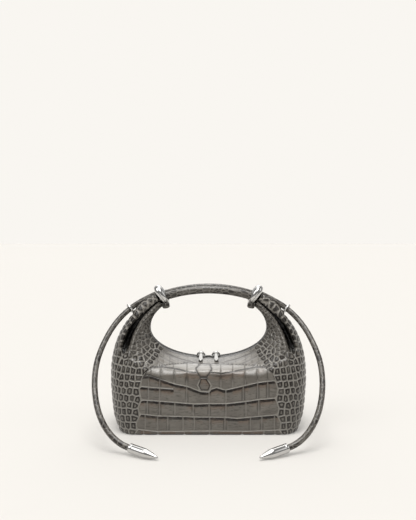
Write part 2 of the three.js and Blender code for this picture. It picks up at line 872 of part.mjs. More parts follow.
for (const { name, sign } of sides) {
  const turn = sign < 0 ? Math.PI : 0;

  add(`zip_chain_${name}`, zipChain(sign), steelFinish);

  const seat = sliderSeat(sign);
  bag.add(seat);
  add(`slider_${name}`, slider(), steelFinish, seat);
  const pullMesh = add(`pull_${name}`, pull(), steelFinish, seat);
  pullMesh.position.set(pullCentre, 0, barHeight);
  pullMesh.rotation.x = sign * THREE.MathUtils.degToRad(pullDroop);
  pullMesh.rotation.z = turn;

  add(`bead_${name}`, bead(sign), steelFinish);

  placeTab(add(`zip_tab_${name}`, zipTab(), leatherFinish), sign);
  add(`cord_${name}`, freeCord(sign), leatherFinish);

  const wireRadius = guideWire / 2;
  const guide = new THREE.TorusGeometry(guideBore / 2 + wireRadius, wireRadius, 6, 12);
  placeGuide(add(`guide_ring_${name}`, guide, steelFinish), sign);
  placeTip(add(`tip_${name}`, tip(), steelFinish), sign);
}

export default bag;
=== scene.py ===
# A ring handle bag in grey leather with an embossed reptile pattern, dressed around its
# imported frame. Metres, +Z up, front towards -Y; mm turns millimetres into metres.

import math

import bmesh
import bpy
import numpy as np
from mathutils import Matrix, Vector, kdtree


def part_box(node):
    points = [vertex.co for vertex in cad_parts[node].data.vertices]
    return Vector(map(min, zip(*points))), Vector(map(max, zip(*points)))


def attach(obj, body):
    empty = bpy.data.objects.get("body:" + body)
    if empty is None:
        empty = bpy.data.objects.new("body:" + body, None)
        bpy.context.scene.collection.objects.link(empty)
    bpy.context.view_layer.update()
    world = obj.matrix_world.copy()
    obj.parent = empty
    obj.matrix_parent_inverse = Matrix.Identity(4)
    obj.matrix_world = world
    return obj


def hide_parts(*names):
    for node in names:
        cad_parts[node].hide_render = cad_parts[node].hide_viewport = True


mm = 0.001
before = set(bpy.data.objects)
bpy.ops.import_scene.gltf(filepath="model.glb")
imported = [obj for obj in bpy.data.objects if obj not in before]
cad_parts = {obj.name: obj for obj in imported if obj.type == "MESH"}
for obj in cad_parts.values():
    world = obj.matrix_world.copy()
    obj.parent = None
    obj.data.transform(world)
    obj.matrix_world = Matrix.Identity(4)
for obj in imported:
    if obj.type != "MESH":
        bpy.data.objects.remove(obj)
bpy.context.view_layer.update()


# Camera
# It stands 0.7 m in front of the bag, a little above the handle, and looks slightly down.
# Its lens follows from a focal length that is counted in the picture's pixels.
camera_place = (-0.57 * mm, -700 * mm, 218 * mm)
camera_pitch = math.radians(2.5)
picture_height = 520
focal_pixels = 614
sensor_size = 36
camera_data = bpy.data.cameras.new("camera")
camera_data.sensor_width = sensor_size
camera_data.lens = sensor_size * focal_pixels / picture_height
camera_data.clip_start = 10 * mm
camera = bpy.data.objects.new("camera", camera_data)
camera.location = camera_place
camera.rotation_euler = (math.pi / 2 - camera_pitch, 0, 0)
bpy.context.scene.collection.objects.link(camera)
bpy.context.scene.camera = camera


# Drawcord
# A round cord rolled from the bag's leather. It lies on the handle, passes both beads and
# two guide rings, and each end hangs forward in one wide curve to its metal tip.
class Shade:
    """One output in a material's nodes. Arithmetic on it adds Math nodes."""

    def __init__(self, tree, socket=None):
        self.tree = tree
        self.socket = socket

    def node(self, kind, settings=None, sockets=None, output=0):
        """Adds a node: first its settings, then the values or links of its sockets."""
        made = self.tree.nodes.new(kind)
        for name, value in (settings or {}).items():
            setattr(made, name, value)
        for name, value in (sockets or {}).items():
            if isinstance(value, Shade):
                self.tree.links.new(value.socket, made.inputs[name])
            else:
                made.inputs[name].default_value = value
        return Shade(self.tree, made.outputs[output])

    def math(self, operation, first, second=0.0):
        return self.node("ShaderNodeMath", {"operation": operation}, {0: first, 1: second})

    def __add__(self, other):
        return self.math("ADD", self, other)

    def __radd__(self, other):
        return self.math("ADD", other, self)

    def __sub__(self, other):
        return self.math("SUBTRACT", self, other)

    def __rsub__(self, other):
        return self.math("SUBTRACT", other, self)

    def __mul__(self, other):
        return self.math("MULTIPLY", self, other)

    def __rmul__(self, other):
        return self.math("MULTIPLY", other, self)

    def most(self, other):
        return self.math("MAXIMUM", self, other)

    def least(self, other):
        return self.math("MINIMUM", self, other)

    def magnitude(self):
        return self.math("ABSOLUTE", self)

    def fade(self, start, end, low=1.0, high=0.0):
        """Runs smoothly from low at start to high at end."""
        return self.node(
            "ShaderNodeMapRange",
            {"interpolation_type": "SMOOTHSTEP"},
            {"Value": self, "From Min": start, "From Max": end, "To Min": low, "To Max": high},
        )

    def blend(self, below, above):
        """Mixes two colours, with this value as the share of the upper one."""
        low, high = [c if isinstance(c, Shade) else (*c, 1) for c in (below, above)]
        return self.node(
            "ShaderNodeMix", {"data_type": "RGBA"}, {0: self, 6: low, 7: high}, output=2
        )

    def part(self, number):
        """One of a vector's three numbers."""
        return self.node("ShaderNodeSeparateXYZ", {}, {0: self}, output=number)

    def stretched(self, amounts):
        """A vector with each of its numbers multiplied."""
        return self.node("ShaderNodeVectorMath", {"operation": "MULTIPLY"}, {0: self, 1: amounts})

    def place(self):
        """The point's place on its piece, which is its place in the frame at rest."""
        return self.node("ShaderNodeTexCoord", output=3)

    def field(self, name):
        """A vector kept at the points of the mesh."""
        return self.node("ShaderNodeAttribute", {"attribute_name": name}, output=1)

    def noise(self, vector, scale, detail=3, roughness=0.55):
        """Cloudy noise over a vector, with scale in waves to the metre."""
        return self.node(
            "ShaderNodeTexNoise",
            {},
            {"Vector": vector, "Scale": scale, "Detail": detail, "Roughness": roughness},
        )

    def bump(self, height, depth, strength=1.0):
        """Relief from a height of 0 to 1 over a real depth."""
        return self.node(
            "ShaderNodeBump", {}, {"Strength": strength, "Distance": depth, "Height": height}
        )


def new_material(name):
    """A material, the Shade that makes its nodes, and its main shader."""
    material = bpy.data.materials.new(name)
    material.use_nodes = True
    tree = material.node_tree
    shader = tree.nodes["Principled BSDF"]
    return material, Shade(tree), shader


def link(made, shader, socket):
    made.tree.links.new(made.socket, shader.inputs[socket])


net_grey = (0.245, 0.23, 0.204)
strip_grey = (0.082, 0.074, 0.063)
strip_deep = (0.05, 0.044, 0.036)
patina_and_shade_brown = (0.007, 0.0045, 0.003)
leather_gloss = 0.34
leather_coat = 0.5


def finish_leather(nodes, shader, colour, height, depth):
    """Joins colour, gloss and relief to the shader, with the grain of finished leather."""
    place = nodes.place()
    pores = nodes.noise(place, 2600, 2, 0.6)
    cloud = nodes.noise(place, 120)
    gloss = cloud.fade(0.25, 0.75, leather_gloss - 0.05, leather_gloss + 0.07)
    link(colour, shader, "Base Color")
    link(nodes.bump(height + pores * 0.05 + cloud * 0.06, depth), shader, "Normal")
    link(gloss, shader, "Roughness")
    shader.inputs["Specular IOR Level"].default_value = 0.3
    shader.inputs["Coat Weight"].default_value = leather_coat
    shader.inputs["Coat Roughness"].default_value = 0.13


def strip_leather(name, scale_length, scale_width, wear):
    """Leather of a rolled strip: small scales that follow the strip's own length."""
    material, nodes, shader = new_material(name)
    wrap = nodes.field("wrap")
    squeezed = wrap.stretched((1 / scale_width, 1 / scale_width, 1 / scale_length))
    cells = nodes.node(
        "ShaderNodeTexVoronoi",
        {"feature": "DISTANCE_TO_EDGE"},
        {"Vector": squeezed, "Scale": 1.0, "Randomness": 0.75},
    )
    patches = nodes.noise(wrap, 46, 2)
    cloud = nodes.noise(wrap, 160)
    specks = nodes.noise(wrap, 420)
    grey = cloud.fade(0.3, 0.7, 0.0, 1.0).blend(strip_deep, strip_grey)
    net = cells.fade(0.02, 0.11)
    blotch = (patches * 0.65 + specks * 0.35).fade(0.43, 0.53, 0.0, 1.0)
    stained = blotch * cells.fade(0.04, 0.16, 0.1, 1.0) * wear
    colour = (net * 0.45).blend(grey, net_grey)
    colour = stained.blend(colour, patina_and_shade_brown)
    finish_leather(nodes, shader, colour, cells.fade(0.0, 0.2, 0.0, 1.0) * 0.5, 0.35 * mm)
    return material


def travel(line):
    """Distance travelled at each point of a line of points."""
    return np.r_[0, np.cumsum(np.linalg.norm(np.diff(line, axis=0), axis=1))]


def point_at(distance, line):
    """The point, or points, at a distance along a line of points."""
    lengths = travel(line)
    return np.stack([np.interp(distance, lengths, line[:, k]) for k in range(3)], -1)


def smooth_route(points, count, steps=24):
    """Evenly spaced points on the centripetal curve through the given ones."""
    points = np.array(points, float)
    first, last = 2 * points[0] - points[1], 2 * points[-1] - points[-2]
    padded = np.vstack([first, points, last])
    knots = np.cumsum(np.r_[0, np.sqrt(np.linalg.norm(np.diff(padded, axis=0), axis=1))])
    dense = []
    for i in range(1, len(padded) - 2):
        t0, t1, t2, t3 = knots[i - 1 : i + 3]
        p0, p1, p2, p3 = padded[i - 1 : i + 3]
        t = np.linspace(t1, t2, steps, endpoint=False)[:, None]
        a1 = (t1 - t) / (t1 - t0) * p0 + (t - t0) / (t1 - t0) * p1
        a2 = (t2 - t) / (t2 - t1) * p1 + (t - t1) / (t2 - t1) * p2
        a3 = (t3 - t) / (t3 - t2) * p2 + (t - t2) / (t3 - t2) * p3
        b1 = (t2 - t) / (t2 - t0) * a1 + (t - t0) / (t2 - t0) * a2
        b2 = (t3 - t) / (t3 - t1) * a2 + (t - t1) / (t3 - t1) * a3
        dense.append((t2 - t) / (t2 - t1) * b1 + (t - t1) / (t2 - t1) * b2)
    dense = np.vstack([*dense, points[-1:]])
    return point_at(np.linspace(0, travel(dense)[-1], count), dense)


def add_mesh(name, points, faces, material, attributes=None):
    """A smooth shaded piece in the frame, with its vertex attributes."""
    mesh = bpy.data.meshes.new(name)
    mesh.from_pydata(np.asarray(points).tolist(), [], faces)
    for key, values in (attributes or {}).items():
        layer = mesh.attributes.new(key, "FLOAT_VECTOR", "POINT")
        layer.data.foreach_set("vector", np.asarray(values, np.float32).ravel())
    mesh.shade_smooth()
    mesh.materials.append(material)
    piece = bpy.data.objects.new(name, mesh)
    bpy.context.scene.collection.objects.link(piece)
    return piece


def grid_faces(rows, columns, wrapped):
    """Quads of a grid of points, joined round on itself if wrapped."""
    last = columns if wrapped else columns - 1
    return [
        (
            i * columns + j,
            i * columns + (j + 1) % columns,
            (i + 1) * columns + (j + 1) % columns,
            (i + 1) * columns + j,
        )
        for i in range(rows - 1)
        for j in range(last)
    ]


def tube(name, centre, radius, sides, material):
    """A closed tube round a line of points."""
    centre = np.asarray(centre)
    count = len(centre)
    run = np.gradient(centre, axis=0)
    run /= np.linalg.norm(run, axis=1)[:, None]
    side = np.cross(run[0], (0, 1, 0))
    if np.linalg.norm(side) < 0.1:
        side = np.cross(run[0], (0, 0, 1))
    angle = np.linspace(0, 2 * np.pi, sides, endpoint=False)
    around = np.stack([np.cos(angle), np.sin(angle)], 1)
    travelled = travel(centre)
    points, wrap = [], []
    for i in range(count):
        side = side - run[i] * side.dot(run[i])
        side /= np.linalg.norm(side)
        up = np.cross(run[i], side)
        ring = np.outer(around[:, 0], side) + np.outer(around[:, 1], up)
        points.append(centre[i] + ring * radius)
        wrap.append(np.c_[around * radius, np.full(sides, travelled[i])])
    points = np.vstack([*points, centre[:1], centre[-1:]])
    wrap = np.vstack([*wrap, (0, 0, 0), (0, 0, travelled[-1])])
    faces = grid_faces(count, sides, True)
    start, end, final = count * sides, count * sides + 1, (count - 1) * sides
    faces += [(start, (j + 1) % sides, j) for j in range(sides)]
    faces += [(end, final + j, final + (j + 1) % sides) for j in range(sides)]
    return add_mesh(name, points, faces, material, {"wrap": wrap})


cord_diameter = 6.2 * mm
cord_sides = 24
cord_lead = 3 * mm
join_gap = 0.15 * mm
held_steps, free_steps = 260, 180

# Half of the held part, from the middle of the handle to the guide ring.
held_half = [
    (0.0000, 0.0071, 0.1569),
    (0.0200, 0.0071, 0.1557),
    (0.0380, 0.0071, 0.1525),
    (0.0475, 0.0071, 0.1500),
    (0.0610, 0.0073, 0.1476),
    (0.0690, 0.0062, 0.1440),
    (0.0780, 0.0039, 0.1393),
    (0.0842, 0.0022, 0.1356),
]
guide_place = (0.0896, 0.0005, 0.1316)

# The free end, from the guide ring to the tip.
free_route = [
    (0.0956, -0.0034, 0.1266),
    (0.1022, -0.0092, 0.1196),
    (0.1089, -0.0180, 0.1100),
    (0.1137, -0.0268, 0.1003),
    (0.1173, -0.0352, 0.0908),
    (0.1196, -0.0434, 0.0815),
    (0.1204, -0.0513, 0.0725),
    (0.1200, -0.0590, 0.0635),
    (0.1186, -0.0665, 0.0548),
    (0.1162, -0.0740, 0.0462),
    (0.1128, -0.0812, 0.0379),
    (0.1082, -0.0878, 0.0298),
    (0.1019, -0.0936, 0.0216),
    (0.0940, -0.0986, 0.0144),
    (0.0858, -0.1022, 0.0096),
]
tip_root = (0.0774, -0.1055, 0.0072)
tip_nose = (0.0487, -0.1207, 0.0029)


def unit(vector):
    return np.array(vector, float) / np.linalg.norm(vector)


def on_side(points, side):
    """Points of the right side, or their mirror images on the left."""
    return np.array(points, float) * (side, 1, 1)


def add_cord(name, points, steps):
    """A cord through its chosen points, and the line of its middle."""
    route = smooth_route(points, steps)
    cord = tube(name, route, cord_diameter / 2, cord_sides, cord_leather)
    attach(cord, "bag")
    return cord, route


guide_run = unit(np.subtract(free_route[0], held_half[-1]))
tip_run = unit(np.subtract(tip_nose, tip_root))
cord_leather = strip_leather("cord_leather", 6.5 * mm, 3.6 * mm, 0.85)

held_right = [*held_half, guide_place - guide_run * cord_lead, guide_place - guide_run * join_gap]
held_left = on_side(held_right[:0:-1], -1)
cord_top, held_route = add_cord("cord_over_handle", [*held_left, *held_right], held_steps)
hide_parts("cord_top")

free_points = [
    guide_place + guide_run * join_gap,
    guide_place + guide_run * cord_lead,
    *free_route,
    tip_root - tip_run * cord_lead,
    tip_root - tip_run * join_gap * 2,
]
cords = {}
for side_name, side in (("left", -1), ("right", 1)):
    cord, route = add_cord(f"drawcord_{side_name}", on_side(free_points, side), free_steps)
    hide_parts(f"cord_{side_name}")
    cords[side_name] = (cord, route)


# Cord tips
# Solid metal ends turned on a lathe: a straight barrel with a fine groove near its mouth,
# then a pointed nose with a small round end. The cord is glued into the barrel.
steel_colour = (0.6, 0.595, 0.585)


def polished_metal(name, plating, scratch):
    """Polished plated metal with faint brushing and finger marks."""
    material, nodes, shader = new_material(name)
    place = nodes.place()
    marks = nodes.noise(place, 260, 4)
    fine = nodes.noise(place, 2400, 2)
    dulled = tuple(c * 0.93 for c in plating)
    link(marks.fade(0.3, 0.7, 0.0, 1.0).blend(plating, dulled), shader, "Base Color")
    link(marks.fade(0.35, 0.7, 0.08, 0.17), shader, "Roughness")
    link(nodes.bump(fine + marks, 0.02 * mm, scratch), shader, "Normal")
    shader.inputs["Metallic"].default_value = 1.0
    return material


def lathe(name, profile, sides, origin, axis, material):
    """Turns (radius, distance along the axis) pairs about an axis through origin."""
    axis = np.array(axis, float)
    across = np.cross(axis, (0, 1, 0) if abs(axis[1]) < 0.8 else (1, 0, 0))
    across /= np.linalg.norm(across)
    up = np.cross(axis, across)
    angle = np.linspace(0, 2 * np.pi, sides, endpoint=False)
    ring = np.outer(np.cos(angle), across) + np.outer(np.sin(angle), up)
    points = np.vstack([np.array(origin) + axis * far + ring * radius for radius, far in profile])
    faces = grid_faces(len(profile), sides, True)
    return add_mesh(name, points, faces, material)


def fillet(profile, passes, cut=0.25):
    """Rounds a profile: each pass cuts every corner at a share of its two sides."""
    points = np.array(profile, float)
    for _ in range(passes):
        near = points[:-1] * (1 - cut) + points[1:] * cut
        far = points[:-1] * cut + points[1:] * (1 - cut)
        between = np.stack([near, far], 1).reshape(-1, 2)
        points = np.vstack([points[:1], between, points[-1:]])
    return points


steel = polished_metal("polished_steel", steel_colour, 0.25)
tip_length, tip_radius = 32.8 * mm, 4.7 * mm
tip_sides = 56

# Shares of the tip's radius and length, from inside its mouth to the end of its nose.
tip_profile = [
    (0.02, 0.012),
    (0.66, 0.012),
    (0.7, 0.0),
    (0.92, 0.0),
    (0.99, 0.012),
    (1.0, 0.03),
    (1.0, 0.085),
    (0.965, 0.095),
    (0.965, 0.105),
    (1.0, 0.115),
    (1.0, 0.5),
    (0.985, 0.56),
    (0.9, 0.63),
    (0.72, 0.735),
    (0.5, 0.855),
    (0.3, 0.945),
    (0.18, 0.985),
    (0.001, 1.0),
]
tip_curve = fillet(np.array(tip_profile) * (tip_radius, tip_length), 2)
for side_name, side in (("left", -1), ("right", 1)):
    root, run = on_side(tip_root, side), on_side(tip_run, side)
    tip = lathe(f"cord_tip_{side_name}", tip_curve, tip_sides, root, run, steel)
    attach(tip, "bag")
    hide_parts(f"tip_{side_name}")
    cord, route = cords[side_name]


# Leather body
# Front and back panels of glossy calf leather with an embossed reptile pattern, joined at
# the sides and under the foot. Each horn is folded in deeply and gathered into its bead.
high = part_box("bag_shell")[1]
half_width, half_depth = high.x, high.y
foot_edge_radius = 2.6 * mm
panel_reach = 18 * mm
roll_softness = 19 * mm
fold_depth = 12 * mm
side_flat = 1.6 * mm
opening_half_width = 66.7 * mm
opening_centre = 110 * mm
rim_drop = 33 * mm
slot_width = 9.4 * mm
bead_centre = np.array((54, 147.8)) * mm
bead_tilt = math.radians(32)
bead_thick = 10 * mm
neck_radius = 7.2 * mm
neck_drop = 4.8 * mm
seat_gap = 0.3 * mm

long_axis = np.array((math.sin(bead_tilt), math.cos(bead_tilt)))
bore_axis = np.array((math.cos(bead_tilt), -math.sin(bead_tilt)))
neck_centre = bead_centre + bore_axis * (bead_thick / 2 + seat_gap) - long_axis * neck_drop
neck_inner = neck_centre - long_axis * neck_radius
neck_outer = neck_centre + long_axis * neck_radius
neck_height = neck_outer[1]

# The body's tables: its outline and level sections go by height, and its panel and folds by
# the place along the ring, which runs from the rim's middle (0) to the neck (1).
outline = [
    (0, 0.746),
    (0.136, 0.893),
    (0.259, 0.953),
    (0.354, 0.99),
    (0.442, 1),
    (0.524, 0.982),
    (0.601, 0.934),
    (0.679, 0.857),
    (0.757, 0.744),
    (0.829, 0.594),
    (0.893, 0.408),
    (0.945, 0.223),
    (0.984, 0.072),
    (1, 0),
]
level_heights = (0, 0.14, 0.34, 0.48, 0.6, 0.74, 0.84, 0.93, 1)
level_depth = list(zip(level_heights, (1, 1, 0.94, 0.83, 0.68, 0.45, 0.24, 0.08, 0)))
level_corner = list(zip(level_heights, (0.16, 0.2, 0.27, 0.31, 0.3, 0.26, 0.2, 0.13, 0.11)))
level_turn = list(zip(level_heights, (0.4, 0.52, 0.8, 0.95, 1, 1, 1, 1, 1)))
panel_places = (0, 0.12, 0.26, 0.4, 0.62, 0.82, 1)
panel_line = list(zip(panel_places, (0.35, 0.42, 0.7, 1, 1.05, 0.8, 0.36)))
fold_places = (0.44, 0.53, 0.6, 0.66, 0.74, 0.84, 1)
fold_middle = list(zip(fold_places, (0.66, 0.65, 0.63, 0.62, 0.6, 0.56, 0.5)))
fold_spread = list(zip(fold_places, (0.16, 0.17, 0.18, 0.2, 0.22, 0.26, 0.34)))
fold_share = list(zip(fold_places, (0, 0.3, 0.85, 1, 0.75, 0.42, 0.16)))
cleft_places = (0.5, 0.56, 0.6, 0.66, 0.71, 0.76, 0.9, 1)
cleft_share = list(zip(cleft_places, (0, 0.3, 1, 1, 0.8, 0.55, 0.5, 0.6)))
cleft_width = list(zip(cleft_places, (0.5, 0.6, 0.58, 0.52, 0.34, 0.2, 0.15, 0.15)))
cleft_depth = 11 * mm
ridge_share = list(zip((0.54, 0.59, 0.66, 0.72), (0, 1, 1, 0)))
ridge_height = 2.4 * mm
ridge_place, ridge_width = -0.92, 0.24
fold_fullness = 0.62
steep_wall, soft_wall = 0.8, 1.15


def column(rows, at):
    """Smooth value of a table of (place, value) rows: a cubic without overshoot."""
    xs, ys = np.array(rows, float).T
    step, rise = np.diff(xs), np.diff(ys)
    slope = rise / step
    before, after = slope[:-1], slope[1:]
    same = before * after > 0
    inner = np.where(same, 2 * before * after / np.where(same, before + after, 1), 0)
    tangent = np.r_[slope[0], inner, slope[-1]]
    at = np.clip(at, xs[0], xs[-1])
    i = np.clip(np.searchsorted(xs, at) - 1, 0, len(step) - 1)
    t = (at - xs[i]) / step[i]
    m0, m1 = tangent[i] * step[i], tangent[i + 1] * step[i]
    cube = (m0 + m1 - 2 * rise[i]) * t**3
    return ys[i] + m0 * t + (3 * rise[i] - 2 * m0 - m1) * t**2 + cube


def foot_edge(height):
    """How far the rounded foot draws the body in at a height."""
    left = np.maximum(foot_edge_radius - height, 0)
    return foot_edge_radius - np.sqrt(np.maximum(foot_edge_radius**2 - left**2, 0))


def outline_at(height):
    """Half width of the body at a height."""
    reach = column(outline, height / neck_height)
    return neck_outer[0] + (half_width - neck_outer[0]) * reach - foot_edge(height)


corner_along = 0.4
corner_angle = 48
gather = 2.6
neck_share = neck_inner[0] / opening_half_width
crown_rise = (neck_inner[1] - opening_centre) / math.sqrt(1 - neck_share**2)
neck_angle = 180 - math.degrees(math.asin(neck_share))


def opening_point(along):
    """A point of the opening's edge as (x, z)."""
    beyond = (along - corner_along) / (1 - corner_along)
    degrees = np.where(
        along < corner_along,
        corner_angle * along / corner_along,
        corner_angle + (neck_angle - corner_angle) * beyond,
    )
    angle = np.radians(degrees)
    drop = np.where(np.cos(angle) > 0, rim_drop, crown_rise)
    return opening_half_width * np.sin(angle), opening_centre - drop * np.cos(angle)


def outer_point(along):
    """The matching point of the body's outer edge as (x, z)."""
    climb = np.clip((along - corner_along) / (1 - corner_along), 0, 1)
    height = neck_height * (1 - (1 - climb) ** gather)
    on_foot = outline_at(np.zeros_like(along)) * along / corner_along
    return np.where(along <= corner_along, on_foot, outline_at(height)), height


def body_depth(x, height):
    """Half depth of the body without its top panel and folds."""
    rise = np.minimum(height / neck_height, 1)
    full = neck_radius + (half_depth - neck_radius) * column(level_depth, rise)
    corner = half_width * column(level_corner, rise)
    turn = column(level_turn, rise)
    inset = np.clip((outline_at(height) - x) / corner, 0, 1)
    rounded = np.sqrt(1 - (1 - inset) ** 2)
    return full * (1 - turn + turn * rounded) - foot_edge(height)


slot_end = 0.9
closed_slot = 0.6 * mm


def slot_half(along):
    """Half width of the slot between the panels' edges, which holds the zip."""
    closing = np.clip((along - slot_end) / (1 - slot_end), 0, 1)
    return slot_width / 2 + (closed_slot - slot_width / 2) * closing


def from_fold(along, share):
    """Place across the horn's fold: 0 in its middle, -1 and 1 at its edges."""
    return (share - column(fold_middle, along)) / column(fold_spread, along)


def cleft_profile(off, along):
    """Share of the cleft's depth: a steep wall on the inner side, a softer one outside."""
    width = column(cleft_width, along) * np.where(off < 0, steep_wall, soft_wall)
    return np.exp(-((off / width) ** 4))


def fold_groove(along, share):
    """Depth of the horn's fold, less the ridge on its inner side."""
    off = from_fold(along, share)
    deep = fold_depth * fold_fullness * column(fold_share, along)
    wide = (1 - np.minimum(np.abs(off), 1) ** 2) ** 2
    cleft = cleft_profile(off, along) * column(cleft_share, along) * cleft_depth
    bulge = np.exp(-(((off - ridge_place) / ridge_width) ** 2)) * column(ridge_share, along)
    return np.where(along < fold_places[0], 0, deep * wide + cleft - bulge * ridge_height)


def surface(along, share):
    """Points of the front panel's outer face for x >= 0."""
    inner_x, inner_z = opening_point(along)
    outer_x, outer_z = outer_point(along)
    x = inner_x + (outer_x - inner_x) * share
    z = inner_z + (outer_z - inner_z) * share
    distance = np.hypot(outer_x - inner_x, outer_z - inner_z) * share
    body = body_depth(x, z)
    reach = panel_reach * column(panel_line, along)
    start = slot_half(along)
    softness = np.minimum(roll_softness, body * 0.5 + 0.01 * mm)
    panel = start + (body - start) * distance / reach
    near = np.maximum(softness - np.abs(panel - body), 0) / softness
    rolled = np.minimum(panel, body) - near * near * softness / 4
    rolled = np.maximum(rolled, np.minimum(start, body))
    depth = np.maximum(rolled - fold_groove(along, share), side_flat / 2)
    return x, -depth, z


# The panel's grid: columns are spread evenly over the leather between the opening and the
# outline, and rows run from the zip's edge over the front to the middle of the foot.
half_columns = 275
face_rows = 136
foot_rows = 18
edge_rows = 5
inner_weight = 0.45
even_share = 0.45
sample = np.linspace(0, 1, 2001)
inner_run = np.hypot(*[np.gradient(v) for v in opening_point(sample)])
outer_run = np.hypot(*[np.gradient(v) for v in outer_point(sample)])
travelled = np.cumsum(inner_weight * inner_run + (1 - inner_weight) * outer_run)
even = np.linspace(travelled[0], travelled[-1], half_columns)
stations = np.interp(even, travelled, sample)
signed = np.r_[-stations[:0:-1], stations]
along = np.abs(signed)
mirror = np.where(signed < 0, -1, 1)
t = np.linspace(0, 1, face_rows)
shares = even_share * t + (1 - even_share) * np.sin(t * math.pi / 2)

face_x, face_y, face_z = surface(along[None, :] + 0 * shares[:, None], shares[:, None])
face = np.stack([face_x * mirror, face_y, face_z], 2)

# The turned edge goes down into the zip's slot, and the last rows close the side and foot.
edge_depth = 3.2 * mm
edge_round = 0.9 * mm
edge_proud = 0.4
edge_least = 0.3 * mm
rim_x, rim_z = opening_point(along)
rim_x = rim_x * mirror
step_x, step_z = np.gradient(rim_x), np.gradient(rim_z)
run = np.hypot(step_x, step_z)
out_x, out_z = -step_z / run, step_x / run
edge = []
for k in range(edge_rows, 0, -1):
    turn = k / edge_rows
    down = edge_depth * turn**1.5
    inset = edge_round * (1 - edge_proud - (1 - turn) ** 2)
    y = -np.maximum(slot_half(along) - inset, edge_least)
    edge.append(np.stack([rim_x - out_x * down, y, rim_z - out_z * down], 1))
closing = []
for k in range(1, foot_rows + 1):
    row = face[-1].copy()
    row[:, 1] *= 1 - k / foot_rows
    closing.append(row)
grid = np.concatenate([np.array(edge), face, np.array(closing)], 0)
rows, columns = grid.shape[:2]
grid_along = np.broadcast_to(along, (rows, columns))
grid_share = np.r_[np.zeros(edge_rows), shares, np.ones(foot_rows)][:, None] + 0 * grid_along

across = np.gradient(grid, axis=1)
down = np.gradient(grid, axis=0)
normal = np.cross(down, across)
normal /= np.maximum(np.linalg.norm(normal, axis=2), 1e-12)[:, :, None]
if normal[rows // 2, columns // 2, 1] > 0:
    normal = -normal

# Charted belly scales on the front face, in millimetres from the middle and up from the
# foot: each line of the net, then the splits of the row of scales that hangs below it.
belly_lines = [
    [(-66, 73), (-23, 74.4), (25, 73.4), (66, 73.4)],
    [
        (-66, 71.6), (-50, 71.8), (-38, 70.4), (-16, 67), (2, 67.4),
        (14, 65.8), (26, 67.8), (52, 71.6), (66, 72),
    ],
    [
        (-80, 64), (-65, 64.8), (-37, 55.7), (-23, 52.9), (-9, 47.6), (1, 47),
        (3, 50), (9, 51.8), (18, 49), (38, 53.5), (54, 57.2), (80, 60),
    ],
    [
        (-82, 39.2), (-62, 38), (-36, 36), (-16, 34.3), (0, 34.7),
        (20, 34.7), (40, 37), (54, 39), (82, 41.5),
    ],
    [
        (-84, 29), (-76, 24), (-55, 21.4), (-16, 20.3), (18, 19.8),
        (31, 18.7), (54, 20.9), (74, 22.6), (84, 22),
    ],
    [(-84, 7.4), (-55, 4.4), (0, 5), (40, 4.6), (70, 5.6), (84, 7)],
]
belly_splits = [
    (-50.8, -38.6, -23.7, 13.4, 26.6, 39.9, 52.6),
    (-62.2, -51.7, -37.4, -23.6, 13.3, 26, 39.8, 53, 64),
    (-64.9, -52.8, -23.6, 0.6, 18.8, 37.5, 53, 64),
    (-66, -52.8, -36.3, -16.5, 0.6, 18.8, 40.3, 54.1),
    (-68.3, -55, -44, -27.5, -15.4, 1.2, 17.7, 45.3, 57.4, 71.2),
    (-70, -54.5, -26, 1.2, 36.5, 59.7, 71.8),
]
belly_half_width = [
    (0, 80), (5, 77.5), (14, 78), (21, 74.5), (30, 76),
    (38, 73), (50, 75), (61, 72), (66, 69), (73, 61),
]
short_line = [(-80, 53.4), (-72, 52.9), (-62, 51.8), (-37.4, 50.2)]
upper_plate = [(-13.8, 70.3), (-8.8, 73.8), (1.2, 73.4), (3.6, 70.2), (-2, 61.8), (-8.8, 61.6)]
lower_plate = [(-8.8, 61.6), (-2, 61.8), (3, 53.8), (0.4, 47.2), (-8.7, 47.8), (-11.8, 53.8)]
below_foot = -6
far_off = 1e3
tone_step, row_tone = 0.37, 0.61

# The stain inside a plate is this much thinner than the stain below a line.
plate_clean = 1.6


def plate_distance(corners, x, z):
    """Signed distance into a convex plate, positive inside."""
    inside = np.full(x.shape, far_off)
    for (x0, z0), (x1, z1) in zip(corners, corners[1:] + corners[:1]):
        length = math.hypot(x1 - x0, z1 - z0)
        inside = np.minimum(inside, ((x - x0) * (z0 - z1) + (z - z0) * (x1 - x0)) / -length)
    return inside


def belly_pattern(x, z):
    """Distances on the belly to a line, to a split and below a line, and each scale's tone."""
    net = np.full(x.shape, far_off)
    split = np.full(x.shape, far_off)
    under = np.full(x.shape, far_off)
    tone = np.zeros(x.shape)
    heights = [np.interp(x, *np.array(line).T) for line in belly_lines]
    heights.append(np.full(x.shape, below_foot))
    for k, splits in enumerate(belly_splits):
        top, bottom = heights[k], heights[k + 1]
        here = (z <= top) & (z > bottom)
        marks = np.array(splits)
        split[here] = np.abs(x[here][:, None] - marks).min(1)
        net[here] = np.minimum(top - z, z - bottom)[here]
        under[here] = (top - z)[here]
        tone[here] = (np.searchsorted(marks, x[here]) * tone_step + k * row_tone) % 1
    short = np.interp(x, *np.array(short_line).T)
    left_part = (x < short_line[-1][0]) & (z < heights[2]) & (z > heights[3])
    net[left_part] = np.minimum(net, np.abs(z - short))[left_part]
    lower = left_part & (z < short)
    under[lower] = (short - z)[lower]
    for plate in (upper_plate, lower_plate):
        inside = plate_distance(plate, x, z)
        net = np.where(inside > 0, inside, np.minimum(net, -inside))
        split = np.where(inside > 0, far_off, split)
        under = np.where(inside > 0, inside + plate_clean, under)
    return net, split, under, tone


